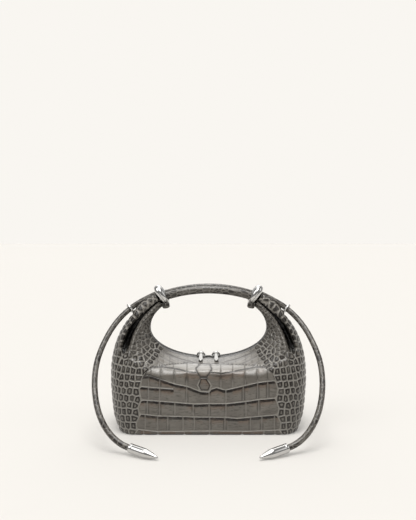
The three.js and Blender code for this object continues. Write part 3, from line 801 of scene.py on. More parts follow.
# Small rounded scales on the sides and horns: rows of seeds laid over the leather. The rows
# start at different places, and each seed is then moved a little at random.
rng = np.random.default_rng(7)
flank_pitch = 7.2 * mm
flank_bottom, flank_top = 3.2 * mm, 82 * mm
flank_jitter = 0.75 * mm
line_steps = 400
side_steps = 40
seeds = []


def belly_edge(height):
    """Half width of the charted belly at a height."""
    places, widths = np.array(belly_half_width).T * mm
    return np.interp(height, places, widths)


def add_seed(point, spacing):
    """Keeps a seed unless another lies closer than the spacing."""
    if all(np.linalg.norm(np.subtract(point, other)) > spacing for other in seeds):
        seeds.append(point)


for row_number, height in enumerate(np.arange(flank_bottom, flank_top, flank_pitch * 1.02)):
    x = np.linspace(belly_edge(height), outline_at(np.array(height)), line_steps)
    y = -body_depth(x, np.full(line_steps, height))
    x = np.r_[x, np.full(side_steps, x[-1])]
    y = np.r_[y, np.linspace(y[-1], 0, side_steps)]
    line = np.stack([x, y, np.full(len(x), height)], 1)
    start = flank_pitch * (0.45 if row_number % 2 else 0.62)
    for place in np.arange(start, travel(line)[-1], flank_pitch * 0.92):
        point = point_at(place, line)
        for side in (-1, 1):
            jitter = rng.normal(0, flank_jitter, 3)
            add_seed(on_side(point, side) + jitter, flank_pitch * 0.55)

# One row of round dark scales runs along the outer lobe of each fold, up to the bead.
lobe_share = 0.84
lobe_pitch = 7.4 * mm
ring = np.linspace(0.62, 0.985, line_steps)
lobe_line = np.stack(surface(ring, np.full(line_steps, lobe_share)), 1)
first_dark = len(seeds)
for place in np.arange(0, travel(lobe_line)[-1], lobe_pitch):
    for side in (-1, 1):
        add_seed(on_side(point_at(place, lobe_line), side), lobe_pitch * 0.6)
past_dark = len(seeds)

# Each patch of a horn: from and to along the ring, from and to across, and the pitch. The
# sides of the bag have their seeds already: they are left out by height and half width.
horn_patches = [
    (0.43, 0.6, 0.0, 1.0, 6.6 * mm),
    (0.6, 1.0, 0.64, 1.0, 6.6 * mm),
    (0.6, 1.0, 0.0, 0.64, 4.9 * mm),
]
across_steps = 300
seeded_below, seeded_beyond = 80 * mm, 64 * mm
for along_from, along_to, share_from, share_to, pitch in horn_patches:
    ring = np.linspace(along_from, along_to, line_steps)
    middle = np.stack(surface(ring, np.full(line_steps, (share_from + share_to) / 2)), 1)
    ring_arc = travel(middle)
    share_line = np.linspace(share_from, share_to, across_steps)
    for row_number, place in enumerate(np.arange(pitch / 2, ring_arc[-1], pitch * 0.92)):
        station = np.interp(place, ring_arc, ring)
        line = np.stack(surface(np.full(across_steps, station), share_line), 1)
        start = pitch * (0.3 if row_number % 2 else 0.75)
        for spot in np.arange(start, travel(line)[-1] + pitch * 0.4, pitch):
            point = point_at(spot, line)
            if point[2] < seeded_below and point[0] > seeded_beyond:
                continue
            for side in (-1, 1):
                jitter = rng.normal(0, pitch * 0.06, 3)
                add_seed(on_side(point, side) + jitter, pitch * 0.68)

# Plain scales have a random tone below this one, and 1 marks the dark scales of the row.
plain_tone_top = 0.88
tree = kdtree.KDTree(len(seeds))
for index, seed in enumerate(seeds):
    tree.insert(seed, index)
tree.balance()
seed_tone = rng.random(len(seeds)) * plain_tone_top
seed_tone[first_dark:past_dark] = 1

# Pattern fields over the grid, in millimetres: first the charted belly, with the corners of
# its scales rounded where they meet its edge.
front_at = -18
rim_margin = 0.02
corner_round = 3.2
flat = grid.reshape(-1, 3)
x_mm, y_mm, z_mm = (flat / mm).T
flat_along = grid_along.ravel()
flat_share = grid_share.ravel()
net, split, under, tone = belly_pattern(x_mm, z_mm)
edge_distance = belly_edge(flat[:, 2]) / mm - np.abs(x_mm)
on_front = (y_mm < front_at) & (flat_share > rim_margin)
crease = np.interp(x_mm, *np.array(belly_lines[0]).T)
belly = on_front & (edge_distance > 0) & (z_mm < crease)
corner = corner_round - np.hypot(corner_round - net, corner_round - edge_distance)
in_corner = (net < corner_round) & (edge_distance < corner_round)
net = np.where(belly, np.where(in_corner, corner, np.minimum(net, edge_distance)), net)

# The top panel has lines at these distances from the rim, and splits at these places.
panel_end = 0.44
panel_lines = np.array((0.0, 4.2, 8.4, 13.0, 19.0))
panel_splits = np.array((-56, -50, -43, -34, -23, -9, 4, 17, 30, 41, 48, 55))
rim_at_x, rim_at_z = opening_point(flat_along)
rim_distance = np.hypot(np.abs(flat[:, 0]) - rim_at_x, flat[:, 2] - rim_at_z) / mm
above_crease = ~belly & (z_mm > crease - 0.5)
panel = (flat_along < panel_end) & above_crease
panel_net = np.abs(rim_distance[:, None] - panel_lines).min(1)
panel_split = np.abs(x_mm[:, None] - panel_splits).min(1)

# Each small scale ends halfway to its nearest neighbour. Where small scales meet the top
# panel, the border follows their round ends, so it is scalloped.
scale_reach = 4.2
scallop_zone = 0.04
scallop_past = 0.012
scallop = (np.abs(flat_along - panel_end) < scallop_zone) & above_crease
small = (~belly & ~panel) | scallop
owner = np.zeros(len(flat), int)
border = np.zeros(len(flat))
left_over = np.zeros(len(flat))
for index in np.nonzero(small)[0]:
    (near, i, d1), (next_near, _, d2) = tree.find_n(flat[index], 2)
    border[index] = (d2 * d2 - d1 * d1) / (2 * (near - next_near).length)
    left_over[index] = scale_reach - d1 / mm
    owner[index] = i
by_panel = scallop & (flat_along < panel_end + scallop_past)
uncovered = by_panel & (left_over < 0)
small = (small & ~panel & ~uncovered) | (scallop & (left_over >= 0))
panel = (panel & ~small) | uncovered
small_net = border / mm
small_net = np.where(by_panel, np.minimum(small_net, np.maximum(left_over, 0)), small_net)
beside_belly = on_front & (z_mm < belly_half_width[-1][0])
small_net = np.where(beside_belly, np.minimum(small_net, np.abs(edge_distance)), small_net)

net = np.where(small, small_net, np.where(panel, panel_net, net))
split = np.where(small, far_off, np.where(panel, panel_split, split))
under = np.where(small | panel, far_off, under)
tone = np.where(small, seed_tone[owner], tone)
kind = np.where(small, 1.0, np.where(panel, 0.5, 0.0))

# Under the foot the lines run from side to side.
foot_pitch = 12
under_foot = (flat_share > 0.999) & (z_mm < 0.5)
foot_net = np.abs((foot_pitch / 2 - y_mm) % foot_pitch - foot_pitch / 2)
net = np.where(under_foot, foot_net, net)


def ramp(value, start, end):
    """Runs evenly from 0 at start to 1 at end."""
    return np.clip((value - start) / (end - start), 0, 1)


off_fold = from_fold(flat_along, flat_share)
hollow = cleft_profile(off_fold, flat_along) * ramp(flat_along, 0.53, 0.59)
on_ridge = np.exp(-(((off_fold + 0.95) / 0.16) ** 2)) * column(ridge_share, flat_along)

# Relief of the emboss: pillowed scales between sunk lines, gone in the folds and at the rim.
pillow_flat = 7
pillow_middle = 0.75
near_line = np.minimum(net, np.where(belly | panel, split * 1.3, far_off))
near_line = np.where(panel, near_line * 0.6, near_line)
pillow_edge = np.where(belly, 1.9, 1.3)
pillow = 1 - np.exp(-np.clip(near_line, 0, pillow_flat) / pillow_edge)
pillow_height = np.where(small, 0.8, np.where(panel, 0.22, 0.75)) * mm
height = np.where(flat_share <= 0, 0, pillow_height * (pillow - pillow_middle))
fade_out = ramp(flat_along, 0.985, 0.935) * ramp(rim_distance, 0, 4)
fade_out = fade_out * (1 - np.clip(hollow * 1.5, 0, 1))
flat_normal = normal.reshape(-1, 3)
flat = flat + flat_normal * (height * fade_out)[:, None]
flat[:, 2] = np.maximum(flat[:, 2], 0)

# Short wrinkles run out from the lower end of the fold.
fold_end = np.array((89, 91)) * mm
wrinkle_height = 1.0 * mm
wrinkle_count = 9
wrinkle_reach, wrinkle_width = 9, 7
off_middle = 12 * mm
from_end = np.stack([np.abs(flat[:, 0]) - fold_end[0], flat[:, 2] - fold_end[1]], 1)
reach = np.hypot(*from_end.T) / mm
angle = np.arctan2(from_end[:, 1], from_end[:, 0])
wrinkle = np.sin(angle * wrinkle_count + np.sin(reach * 0.5) * 0.9)
wrinkle = wrinkle * np.exp(-(((reach - wrinkle_reach) / wrinkle_width) ** 2))
wrinkle = wrinkle * np.clip(-np.sin(angle) + 0.35, 0, 1) * (np.abs(flat[:, 1]) > off_middle)
wrinkle = wrinkle * (1 - hollow)
flat = flat + flat_normal * (wrinkle * wrinkle_height)[:, None]

# The front's outer lobe swells over the lower edge of the drawcord, from bead to guide ring.
swell_from, swell_full, swell_end = 124 * mm, 136 * mm, 149 * mm
swell_reach = 3.7 * mm
rising = ramp(flat[:, 2], swell_from, swell_full)
falling = ramp(flat[:, 2], swell_end, swell_full) ** 0.3
in_front = ramp(-flat[:, 1], 0, 1.6 * mm)
outer = ramp(flat_share, 0.66, 0.96)
swell = swell_reach * np.sin(rising * math.pi / 2) * falling * in_front * outer
front_swell = np.stack([swell * 0.6 * np.sign(flat[:, 0]), 0 * swell, swell * 0.8], 1)

leather_grey = (0.154, 0.142, 0.123)
leather_deep = (0.12, 0.109, 0.094)
worn_and_highlit_grey = (0.36, 0.345, 0.32)
horn_net_grey = (0.29, 0.273, 0.244)
painted_fold_shade = (0.002, 0.0015, 0.001)
tanned_brown = (0.132, 0.089, 0.063)
leather, nodes, shader = new_material("embossed_leather")
place = nodes.place()
across_bag, height_up = place.part(0), place.part(2)
scale, cell, zone = [nodes.field(name) for name in ("scale", "cell", "zone")]
to_net, to_split, below_line = [scale.part(k) for k in range(3)]
smallness, own_tone, in_fold = [cell.part(k) for k in range(3)]
inner_lobe, from_rim = zone.part(0), zone.part(1)
is_small = smallness.fade(0.6, 0.9, 0.0, 1.0)
is_belly = smallness.fade(0.1, 0.4)
is_panel = (1 - is_belly) * (1 - is_small)
cloud = nodes.noise(place, 60, 4)
ragged = nodes.noise(place, 330)
loose = (ragged - 0.5) * 1.6
streaky = nodes.noise(zone.stretched((0.0, 1.3, 0.11)), 1.0, 4, 0.65)
brush = nodes.noise(place.stretched((170.0, 400.0, 900.0)), 1.0, 3, 0.6)

# The pale net between the scales, with ragged edges.
line = (to_net + loose * 0.5).fade(0.45, 1.05)
split_line = (to_split + loose * 0.5).fade(0.4, 0.95) * is_belly.fade(0.3, 0.8, 0.2, 0.45)
line = line.least(1 - is_small).most(is_small * (to_net + loose * 0.4).fade(0.5, 1.15))
quiet = 1 - inner_lobe * 0.6
net_mask = (line * (0.4 + is_small * 0.35 + is_belly * 0.5)).most(split_line) * quiet

# Dark stain: below the belly's lines and beside its splits, then round each small scale.
broken = brush.fade(0.4, 0.5, 0.0, 1.0) * to_split.fade(0.4, 1.2, 0.0, 1.0)
belly_stain = (below_line + loose * 1.4).fade(2.8, 4.5) * (0.76 + broken * 0.24)
belly_stain = belly_stain.most(to_split.fade(1.0, 3.2) * cloud.fade(0.45, 0.6, 0.05, 0.6))
belly_stain = belly_stain.most(brush.fade(0.52, 0.64, 0.0, 0.35)) * is_belly
# Painted highlight: the stain thins out towards the crease, so the belly's top row reads lighter.
belly_stain = belly_stain * height_up.fade(61 * mm, 67 * mm, 1.0, 0.15)
belly_stain = belly_stain * height_up.fade(4.5 * mm, 6.5 * mm, 0.35, 1.0)
# Painted shadow: the bottom few millimetres of the body are darkened where the foot meets the
# floor.
painted_contact_shadow = height_up.fade(0.9 * mm, 2.4 * mm, 0.92, 0.0)
ring_stain = (to_net + loose * 0.9).fade(2.1, 3.0) * own_tone.fade(0.0, 0.3, 0.7, 1.0)
ring_stain = ring_stain * own_tone.fade(0.96, 0.99, 1.0, 0.3)
filled = own_tone.fade(0.9, 0.95, 0.0, 0.97) * to_net.fade(0.8, 1.5, 0.2, 1.0)
small_stain = ring_stain.most(filled) * is_small * 0.95

# Dark stain in the folds' inner lobes and along the rim, and a painted contact shadow where the
# foot meets the floor.
ridge = in_fold.fade(-0.8, -0.15, 1.0, 0.0)
mottle = ragged.fade(0.44, 0.56, 0.0, 0.85) * inner_lobe * (1 - ridge)
rim_streaks = streaky.fade(0.46, 0.58, 0.0, 0.6) * from_rim.fade(3.0, 10.0)
rim_line = from_rim.fade(0.7, 1.3, 0.85, 0.0)
stain_and_contact_shadow = belly_stain.most(small_stain * quiet).most(mottle).most(rim_streaks).most(rim_line)
stain_and_contact_shadow = stain_and_contact_shadow.most(painted_contact_shadow)

# The grey under the stain: cloudy and brown in parts, made pale over the top panel, partly wear
# and partly a painted highlight at the belly's top, and a painted highlight on the fold's ridge.
grey = (cloud * 0.85 + own_tone * 0.15).fade(0.35, 0.62, 0.0, 1.0)
grey = grey.blend(leather_deep, leather_grey)
bowed_up = height_up - across_bag.magnitude() * 0.06
# Partly wear and partly a painted highlight along the crease, and a painted highlight on the
# fold's ridge.
wear_and_painted_highlight = (is_belly * bowed_up.fade(61 * mm, 70 * mm, 0.0, 0.9)).most(is_panel * 0.32)
wear_and_painted_highlight = wear_and_painted_highlight.most(ridge * ragged.fade(0.4, 0.6, 0.25, 0.8))
tanned = (below_line + loose * 2).fade(3.0, 9.5, 0.75, 0.0) * cloud.fade(0.43, 0.56, 0.0, 1.0)
grey = (tanned * is_belly).blend(grey, tanned_brown)
grey = wear_and_painted_highlight.blend(grey, worn_and_highlit_grey)
colour = stain_and_contact_shadow.blend(grey, patina_and_shade_brown)
high_up = height_up.fade(57 * mm, 62 * mm, 0.0, 1.0)
line_grey = is_small.blend(net_grey, horn_net_grey)
line_colour = (high_up * (1 - is_small) * 0.85).blend(line_grey, patina_and_shade_brown)
colour = net_mask.blend(colour, line_colour)
# Painted shade: the fold's hollow is painted near black, and its coat is thinned below so it
# stays dark.
colour = in_fold.fade(0.25, 0.6, 0.0, 0.98).blend(colour, painted_fold_shade)
relief = to_net.fade(0.0, 1.1, 0.0, 1.0).least(to_split.fade(0.0, 0.9, 0.4, 1.0))
finish_leather(nodes, shader, colour, relief, 0.45 * mm)
link(in_fold.fade(0.2, 0.6, leather_coat, 0.05), shader, "Coat Weight")

# What the material reads at each point: the distances in millimetres; the kind, the tone and
# the hollow less the ridge; the fold's inner lobe and the place by the rim and along it.
furthest_line, furthest_rim = 20, 40
scale_field = np.minimum(np.stack([net, split, under], 1), furthest_line)
cell_field = np.stack([kind, tone, hollow - on_ridge * (1 - hollow)], 1)
lobe = np.where(small, ramp(flat_along, 0.5, 0.58) * ramp(flat_share, 0.6, 0.48), 0)
rim_travel = np.interp(flat_along, sample, np.cumsum(inner_run)) / mm
zone_field = np.stack([lobe, np.minimum(rim_distance, furthest_rim), rim_travel], 1)
faces = [face[::-1] for face in grid_faces(rows, columns, False)]
fields = {"scale": scale_field, "cell": cell_field, "zone": zone_field}
for name, points in (("front_panel", flat + front_swell), ("back_panel", flat * (-1, -1, 1))):
    body = add_mesh(name, points, faces, leather, fields)
    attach(body, "bag")
    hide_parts("bag_shell")


# Handle
# A stiff round core wrapped in the same leather, glued along its underside. It ends
# inside the two beads.
handle_rise = 153.4 * mm
handle_flatness = 73 * mm
handle_spread = 110 * mm
handle_diameter = 8.8 * mm
handle_in_bead = 0.55
handle_steps, handle_sides = 200, 32


def handle_height(x):
    """Height of the handle's middle line at a distance from the bag's middle."""
    return handle_rise - handle_flatness * (1 - np.sqrt(1 - (x / handle_spread) ** 2))


handle_reach = bead_centre[0] + bore_axis[0] * bead_thick / 2 * handle_in_bead
handle_x = np.linspace(-handle_reach, handle_reach, handle_steps)
handle_line = np.stack([handle_x, 0 * handle_x, handle_height(handle_x)], 1)
handle_leather = strip_leather("handle_leather", 7.5 * mm, 4.4 * mm, 0.8)
handle = tube(
    "handle", handle_line, handle_diameter / 2, handle_sides, handle_leather
)
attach(handle, "bag")
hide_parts("handle_tube")


# Beads
# Heavy cast beads, polished bright: an oval barrel with a fine crease round its waist, apart
# from its top end. One bore holds the end of the handle, and the drawcord slides through
# the other.
bead_long = 25.2 * mm
bead_wide = 10.9 * mm
bead_lowered = 0.6 * mm
bead_deep = 20 * mm
cord_behind = 7.1 * mm
bore_gap = 0.4 * mm
bead_depth_centre = (cord_behind + cord_diameter / 2 - handle_diameter / 2) / 2
bead_half_profile = [
    (1.0, 0.0),
    (0.985, 0.15),
    (0.91, 0.3),
    (0.76, 0.41),
    (0.56, 0.472),
    (0.3, 0.496),
    (0.02, 0.5),
]
bead_lower_half = [(radius, -level) for radius, level in bead_half_profile[:0:-1]]
bead_corners = fillet(bead_lower_half + bead_half_profile, 3)
bead_levels = np.linspace(-0.5, 0.5, 61)
bead_reach = np.interp(bead_levels, bead_corners[:, 1], bead_corners[:, 0])
crease_level, crease_width, crease_depth = 0.04, 0.035, 0.06
bead_sides, bore_sides = 72, 32


def on_bead(side):
    """Axes of a bead: along its bore, along its length, and its middle."""
    bore = np.array((bore_axis[0] * side, 0, bore_axis[1]))
    length = np.array((long_axis[0] * side, 0, long_axis[1]))
    middle = np.array((bead_centre[0] * side, bead_depth_centre, bead_centre[1]))
    return bore, length, middle - length * bead_lowered


def cut_away(piece, line, radius):
    """Cuts a round bore along a line of points out of a piece."""
    cutter = tube("cutter", line, radius, bore_sides, steel)
    cutting = piece.modifiers.new("bore", "BOOLEAN")
    cutting.object = cutter
    cutting.operation = "DIFFERENCE"
    cutting.solver = "EXACT"
    graph = bpy.context.evaluated_depsgraph_get()
    done = bpy.data.meshes.new_from_object(piece.evaluated_get(graph))
    piece.modifiers.clear()
    piece.data = done
    bpy.data.objects.remove(cutter)


turn = np.linspace(0, 2 * np.pi, bead_sides, endpoint=False)
for side_name, side in (("left", -1), ("right", 1)):
    bore, length, middle = on_bead(side)
    ring = np.outer(np.cos(turn) * bead_long / 2, length)
    ring += np.outer(np.sin(turn) * bead_deep / 2, (0, 1, 0))
    creased = ramp(np.cos(turn), 0.35, -0.05) * crease_depth
    points = []
    for level, reach in zip(bead_levels, bead_reach):
        sunk = creased * math.exp(-(((level - crease_level) / crease_width) ** 2))
        points.append(middle + bore * level * bead_wide + ring * (reach * (1 - sunk))[:, None])
    faces = grid_faces(len(points), bead_sides, True)
    count = len(points) * bead_sides
    faces.append(tuple(range(bead_sides)))
    faces.append(tuple(range(count - 1, count - 1 - bead_sides, -1)))
    bead = add_mesh(f"handle_bead_{side_name}", np.vstack(points), faces, steel)
    fixing = bmesh.new()
    fixing.from_mesh(bead.data)
    bmesh.ops.recalc_face_normals(fixing, faces=fixing.faces)
    fixing.to_mesh(bead.data)
    fixing.free()
    near = np.abs(held_route[:, 0] - middle[0]) < bead_thick * 1.6
    cut_away(bead, held_route[near], cord_diameter / 2 + bore_gap)
    inside = handle_line[handle_line[:, 0] * side > bead_centre[0] - bead_thick * 1.4]
    cut_away(bead, inside, handle_diameter / 2 + bore_gap)
    bead.data.set_sharp_from_angle(angle=math.radians(38))
    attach(bead, "bag")
    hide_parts(f"bead_{side_name}")


# Guide rings
# Plain round rings of polished wire, sewn to the top of each horn, that hold the drawcord
# to the shoulder of the bag.
guide_wire = 2.2 * mm
guide_bore = 7.8 * mm
guide_reach = (guide_bore + guide_wire) / 2
guide_sides = 60
wire_turn = np.linspace(0, 2 * np.pi, 19)
wire_x, wire_z = np.cos(wire_turn) * guide_wire / 2, np.sin(wire_turn) * guide_wire / 2
section = list(zip(guide_reach + wire_x, wire_z))
for side_name, side in (("left", -1), ("right", 1)):
    middle, run = on_side(guide_place, side), on_side(guide_run, side)
    name = f"cord_ring_{side_name}"
    ring = lathe(name, section, guide_sides, middle, run, steel)
    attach(ring, "bag")
    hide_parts(f"guide_ring_{side_name}")


# Zip end tabs
# A thick fold of leather sewn over each end of the zip, just under the bead. It is a ball
# squared off towards a block, with a faint seam round its middle.
tab_half = np.array((4.5, 3.7, 4.4)) * mm
tab_shift = np.array((1.4, 0, 1.0)) * mm
tab_lean = 0.3
tab_square = 0.62
tab_rows, tab_sides = 28, 44
seam_width, seam_depth = 0.12, 0.05


def squared_off(values, power):
    """Moves sines and cosines out from a circle towards a square: a power of 1 does nothing."""
    return np.sign(values) * np.abs(values) ** power


theta = np.linspace(0, np.pi, tab_rows)[:, None]
phi = np.linspace(0, 2 * np.pi, tab_sides, endpoint=False)[None, :]
ball_x, ball_y = np.sin(theta) * np.cos(phi), np.sin(theta) * np.sin(phi)
ball = squared_off(np.stack([ball_x, np.cos(theta) + 0 * phi, ball_y], 2), tab_square)
seam = 1 - seam_depth * np.exp(-((ball[:, :, 2] / seam_width) ** 2))
ball = (ball * seam[:, :, None] * tab_half).reshape(-1, 3)
faces = grid_faces(tab_rows, tab_sides, True)
for side_name, side in (("left", -1), ("right", 1)):
    bore, length, _ = on_bead(side)
    bore = bore * tab_lean + np.array((side, 0, 0)) * (1 - tab_lean)
    length = length * tab_lean + np.array((0, 0, 1)) * (1 - tab_lean)
    low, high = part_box(f"zip_tab_{side_name}")
    place = np.array((low + high) / 2) + on_side(tab_shift, side)
    points = place + ball @ np.array((bore, length, (0, 1, 0)))
    name = f"zip_end_{side_name}"
    tab = add_mesh(name, points, faces, handle_leather, {"wrap": ball})
    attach(tab, "bag")
    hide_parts(f"zip_tab_{side_name}")


# Zip
# A metal chain on dark woven tape closes the rim from bead to bead. Two sliders meet in the
# middle, and each has a bridge with a flat pull that swings on it.
tape_dark, tape_light = (0.012, 0.011, 0.01), (0.035, 0.032, 0.028)
tape_thread = 0.35 * mm


def woven_tape():
    """Dark tape with a slanting weave and a little fuzz."""
    material, nodes, shader = new_material("woven_tape")
    place = nodes.place()
    weave = nodes.node(
        "ShaderNodeTexWave",
        {"bands_direction": "DIAGONAL"},
        {"Vector": place, "Scale": 1 / tape_thread / 20, "Distortion": 1.5, "Detail": 2.0},
        output=1,
    )
    fuzz = nodes.noise(place, 2000)
    link(weave.blend(tape_dark, tape_light), shader, "Base Color")
    link(nodes.bump(weave + fuzz * 0.4, 0.15 * mm, 0.8), shader, "Normal")
    shader.inputs["Roughness"].default_value = 0.85
    return material


tape_cloth = woven_tape()
for node in ("zip_tape_front", "zip_tape_back"):
    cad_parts[node].data.materials.clear()
    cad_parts[node].data.materials.append(tape_cloth)

zip_colour = (0.34, 0.335, 0.325)
zip_steel = polished_metal("zip_steel", zip_colour, 0.2)
chain_width = 4.4 * mm
chain_sink = 0.4 * mm
chain_thickness = 2.4 * mm
tooth_pitch = 1.7 * mm
tooth_length = 1.15 * mm
tooth_reach = 2.9 * mm
slide_gap = 0.3 * mm
slider_length = 11.4 * mm
slider_width = 7.2 * mm
slider_plate = 1.1 * mm
slider_nose_gap = 3.8 * mm
zip_end = 0.88
web_length = 3 * mm
web_setback = 1.2 * mm
chain_steps = 800


def station_at(x):
    """Place along the ring of the rim's point at a distance from the middle."""
    return corner_along * math.degrees(math.asin(x / opening_half_width)) / corner_angle


def on_rim(stations, side, ahead=0.002):
    """Points of the rim and the direction away from the leather, for one half."""
    x, z = opening_point(stations)
    ahead_x, ahead_z = opening_point(stations + ahead)
    step_x, step_z = ahead_x - x, ahead_z - z
    length = np.hypot(step_x, step_z)
    away = np.stack([-step_z / length * side, 0 * x, step_x / length], -1)
    return np.stack([x * side, 0 * x, z], -1), away


def soft_box(centre, axes, halves, corner=0.8):
    """Corner points of a box with cut edges."""
    points = []
    inner = np.array(halves) * corner
    for a, b, c in ((0, 1, 2), (1, 2, 0), (2, 0, 1)):
        for sign in (-1, 1):
            for u, v in ((-1, -1), (1, -1), (1, 1), (-1, 1)):
                local = np.zeros(3)
                local[a] = halves[a] * sign
                local[b] = inner[b] * u
                local[c] = inner[c] * v
                points.append(centre + local @ np.array(axes))
    return points


def zip_part(name, shape):
    """A piece of the zip's metal, made from a bmesh."""
    mesh = bpy.data.meshes.new(name)
    shape.to_mesh(mesh)
    shape.free()
    mesh.materials.append(zip_steel)
    piece = bpy.data.objects.new(name, mesh)
    bpy.context.scene.collection.objects.link(piece)
    return piece


chain_start = slider_nose_gap / 2 + web_setback + web_length + slide_gap
tooth_halves = (tooth_length / 2 * 0.66, tooth_reach / 2, chain_thickness / 2)
for side_name, side in (("left", -1), ("right", 1)):
    stations = np.linspace(station_at(chain_start), zip_end, chain_steps)
    rim, away = on_rim(stations, side)
    arc = travel(rim)
    teeth = bmesh.new()
    for number, spot in enumerate(np.arange(tooth_pitch / 2, arc[-1], tooth_pitch / 2)):
        at = np.searchsorted(arc, spot)
        ahead = unit(rim[min(at + 1, chain_steps - 1)] - rim[at - 1])
        hand = 1 if number % 2 else -1
        middle = rim[at] - away[at] * (chain_sink + chain_thickness / 2)
        middle = middle + np.array((0, hand * (chain_width - tooth_reach) / 2, 0))
        corners = soft_box(middle, (ahead, (0, 1, 0), away[at]), tooth_halves)
        verts = [teeth.verts.new(corner) for corner in corners]
        bmesh.ops.convex_hull(teeth, input=verts)
    chain = zip_part(f"zip_teeth_{side_name}", teeth)
    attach(chain, "bag")
    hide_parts(f"zip_chain_{side_name}")

bar_radius = 0.9 * mm
eye_wall = 0.9 * mm
pull_width = 5 * mm
pull_length = 20 * mm
pull_thickness = 1.7 * mm
pull_droop = math.radians(14)
pull_square, tongue_square = 0.5, 0.6
plate_bottom = slide_gap - chain_sink
plate_top = plate_bottom + slider_plate
chain_bottom = -chain_sink - chain_thickness
bar_height = plate_top + 2 * slide_gap + eye_wall + bar_radius
pull_centre = slider_length / 2 - 2 * bar_radius - slide_gap - pull_width / 2


def rounded(piece, width, segments=3, sharp=math.radians(40)):
    """Rounds a piece's edges for good."""
    bevel = piece.modifiers.new("edges", "BEVEL")
    bevel.width = width
    bevel.segments = segments
    bevel.limit_method = "ANGLE"
    bevel.angle_limit = sharp - math.radians(5)
    graph = bpy.context.evaluated_depsgraph_get()
    done = bpy.data.meshes.new_from_object(piece.evaluated_get(graph))
    piece.modifiers.clear()
    piece.data = done
    piece.data.shade_smooth()
    piece.data.set_sharp_from_angle(angle=sharp)


def slab(shape, outline_xy, bottom, top):
    """Adds a flat plate with that outline to a bmesh."""
    rings = [[shape.verts.new((x, y, z)) for x, y in outline_xy] for z in (bottom, top)]
    shape.faces.new(rings[0][::-1])
    shape.faces.new(rings[1])
    count = len(outline_xy)
    for i in range(count):
        j = (i + 1) % count
        shape.faces.new((rings[0][i], rings[0][j], rings[1][j], rings[1][i]))


def seat_matrix(side):
    """A slider's place: X away from the middle, Z away from the leather."""
    station = station_at(slider_nose_gap / 2 + slider_length / 2)
    rim, away = on_rim(np.array([station]), side)
    up = Vector(away[0])
    over = Vector((0, side, 0))
    ahead = over.cross(up)
    turn = Matrix((ahead, over, up)).transposed().to_4x4()
    return Matrix.Translation(Vector(rim[0])) @ turn


half_long, half_wide = slider_length / 2, slider_width / 2
plate_outline = [
    (-half_long, -half_wide * 0.62),
    (-half_long * 0.72, -half_wide),
    (half_long * 0.1, -half_wide),
    (half_long, -half_wide * 0.72),
    (half_long, half_wide * 0.72),
    (half_long * 0.1, half_wide),
    (-half_long * 0.72, half_wide),
    (-half_long, half_wide * 0.62),
]
web_middle = web_setback + web_length / 2 - half_long
web_outline = [
    (web_middle - web_length / 2, -chain_width / 4),
    (web_middle + web_length / 2, -chain_width / 8),
    (web_middle + web_length / 2, chain_width / 8),
    (web_middle - web_length / 2, chain_width / 4),
]
nose_leg = pull_centre - pull_width / 2 - slide_gap - bar_radius
rear_leg = pull_centre + pull_width / 2 + slide_gap + bar_radius
low_top = chain_bottom - slide_gap

# The bridge goes from the plate at one leg up to the bar and down to the other leg.
legs = [
    (nose_leg - 0.5 * mm, 0, plate_top - 0.4 * mm),
    (nose_leg - 0.2 * mm, 0, plate_top + 0.8 * mm),
    (nose_leg + 0.35 * mm, 0, bar_height - 0.5 * mm),
    (nose_leg + 1.1 * mm, 0, bar_height),
    (pull_centre, 0, bar_height),
    (rear_leg - 1.1 * mm, 0, bar_height),
    (rear_leg - 0.35 * mm, 0, bar_height - 0.5 * mm),
    (rear_leg + 0.2 * mm, 0, plate_top + 0.8 * mm),
    (rear_leg + 0.5 * mm, 0, plate_top - 0.4 * mm),
]
bridge_radius = bar_radius * 0.97
bridge_steps, bridge_sides = 40, 20

# The pull's eye is turned round the bar, with a section that is nearly square.
eye_inner = bar_radius + slide_gap
eye_outer = eye_inner + eye_wall
eye_middle = (eye_inner + eye_outer) / 2
eye_sides = 40
eye_turn = np.linspace(0, 2 * np.pi, 17)
eye_reach = eye_middle + squared_off(np.sin(eye_turn), pull_square) * eye_wall / 2
eye_across = squared_off(np.cos(eye_turn), pull_square) * pull_width / 2
section = list(zip(eye_reach, eye_across))

# The tongue's sections: place below the bar, half width as a share of the pull's width, and
# thickness as a share of the pull's thickness.
stem = [
    (-eye_outer * 0.75, 0.42, 0.8),
    (-eye_outer * 1.3, 0.4, 0.9),
    (-pull_length * 0.35, 0.36, 0.9),
    (-pull_length * 0.62, 0.44, 1.0),
    (-pull_length * 0.8, 0.5, 1.0),
    (-pull_length * 0.93, 0.46, 0.95),
    (-pull_length * 0.985, 0.3, 0.7),
    (-pull_length, 0.12, 0.4),
]
tongue_sides = 32
angle = np.linspace(0, 2 * np.pi, tongue_sides, endpoint=False)
tongue_x = squared_off(np.cos(angle), tongue_square) * pull_width
tongue_z = squared_off(np.sin(angle), tongue_square) * pull_thickness / 2
tongue_points = np.vstack(
    [np.stack([tongue_x * wide, 0 * angle + y, tongue_z * thick], 1) for y, wide, thick in stem]
)
tongue_count = len(tongue_points)
tongue_faces = grid_faces(len(stem), tongue_sides, True)
tongue_faces.append(tuple(range(tongue_sides)))
tongue_faces.append(tuple(range(tongue_count - 1, tongue_count - 1 - tongue_sides, -1)))

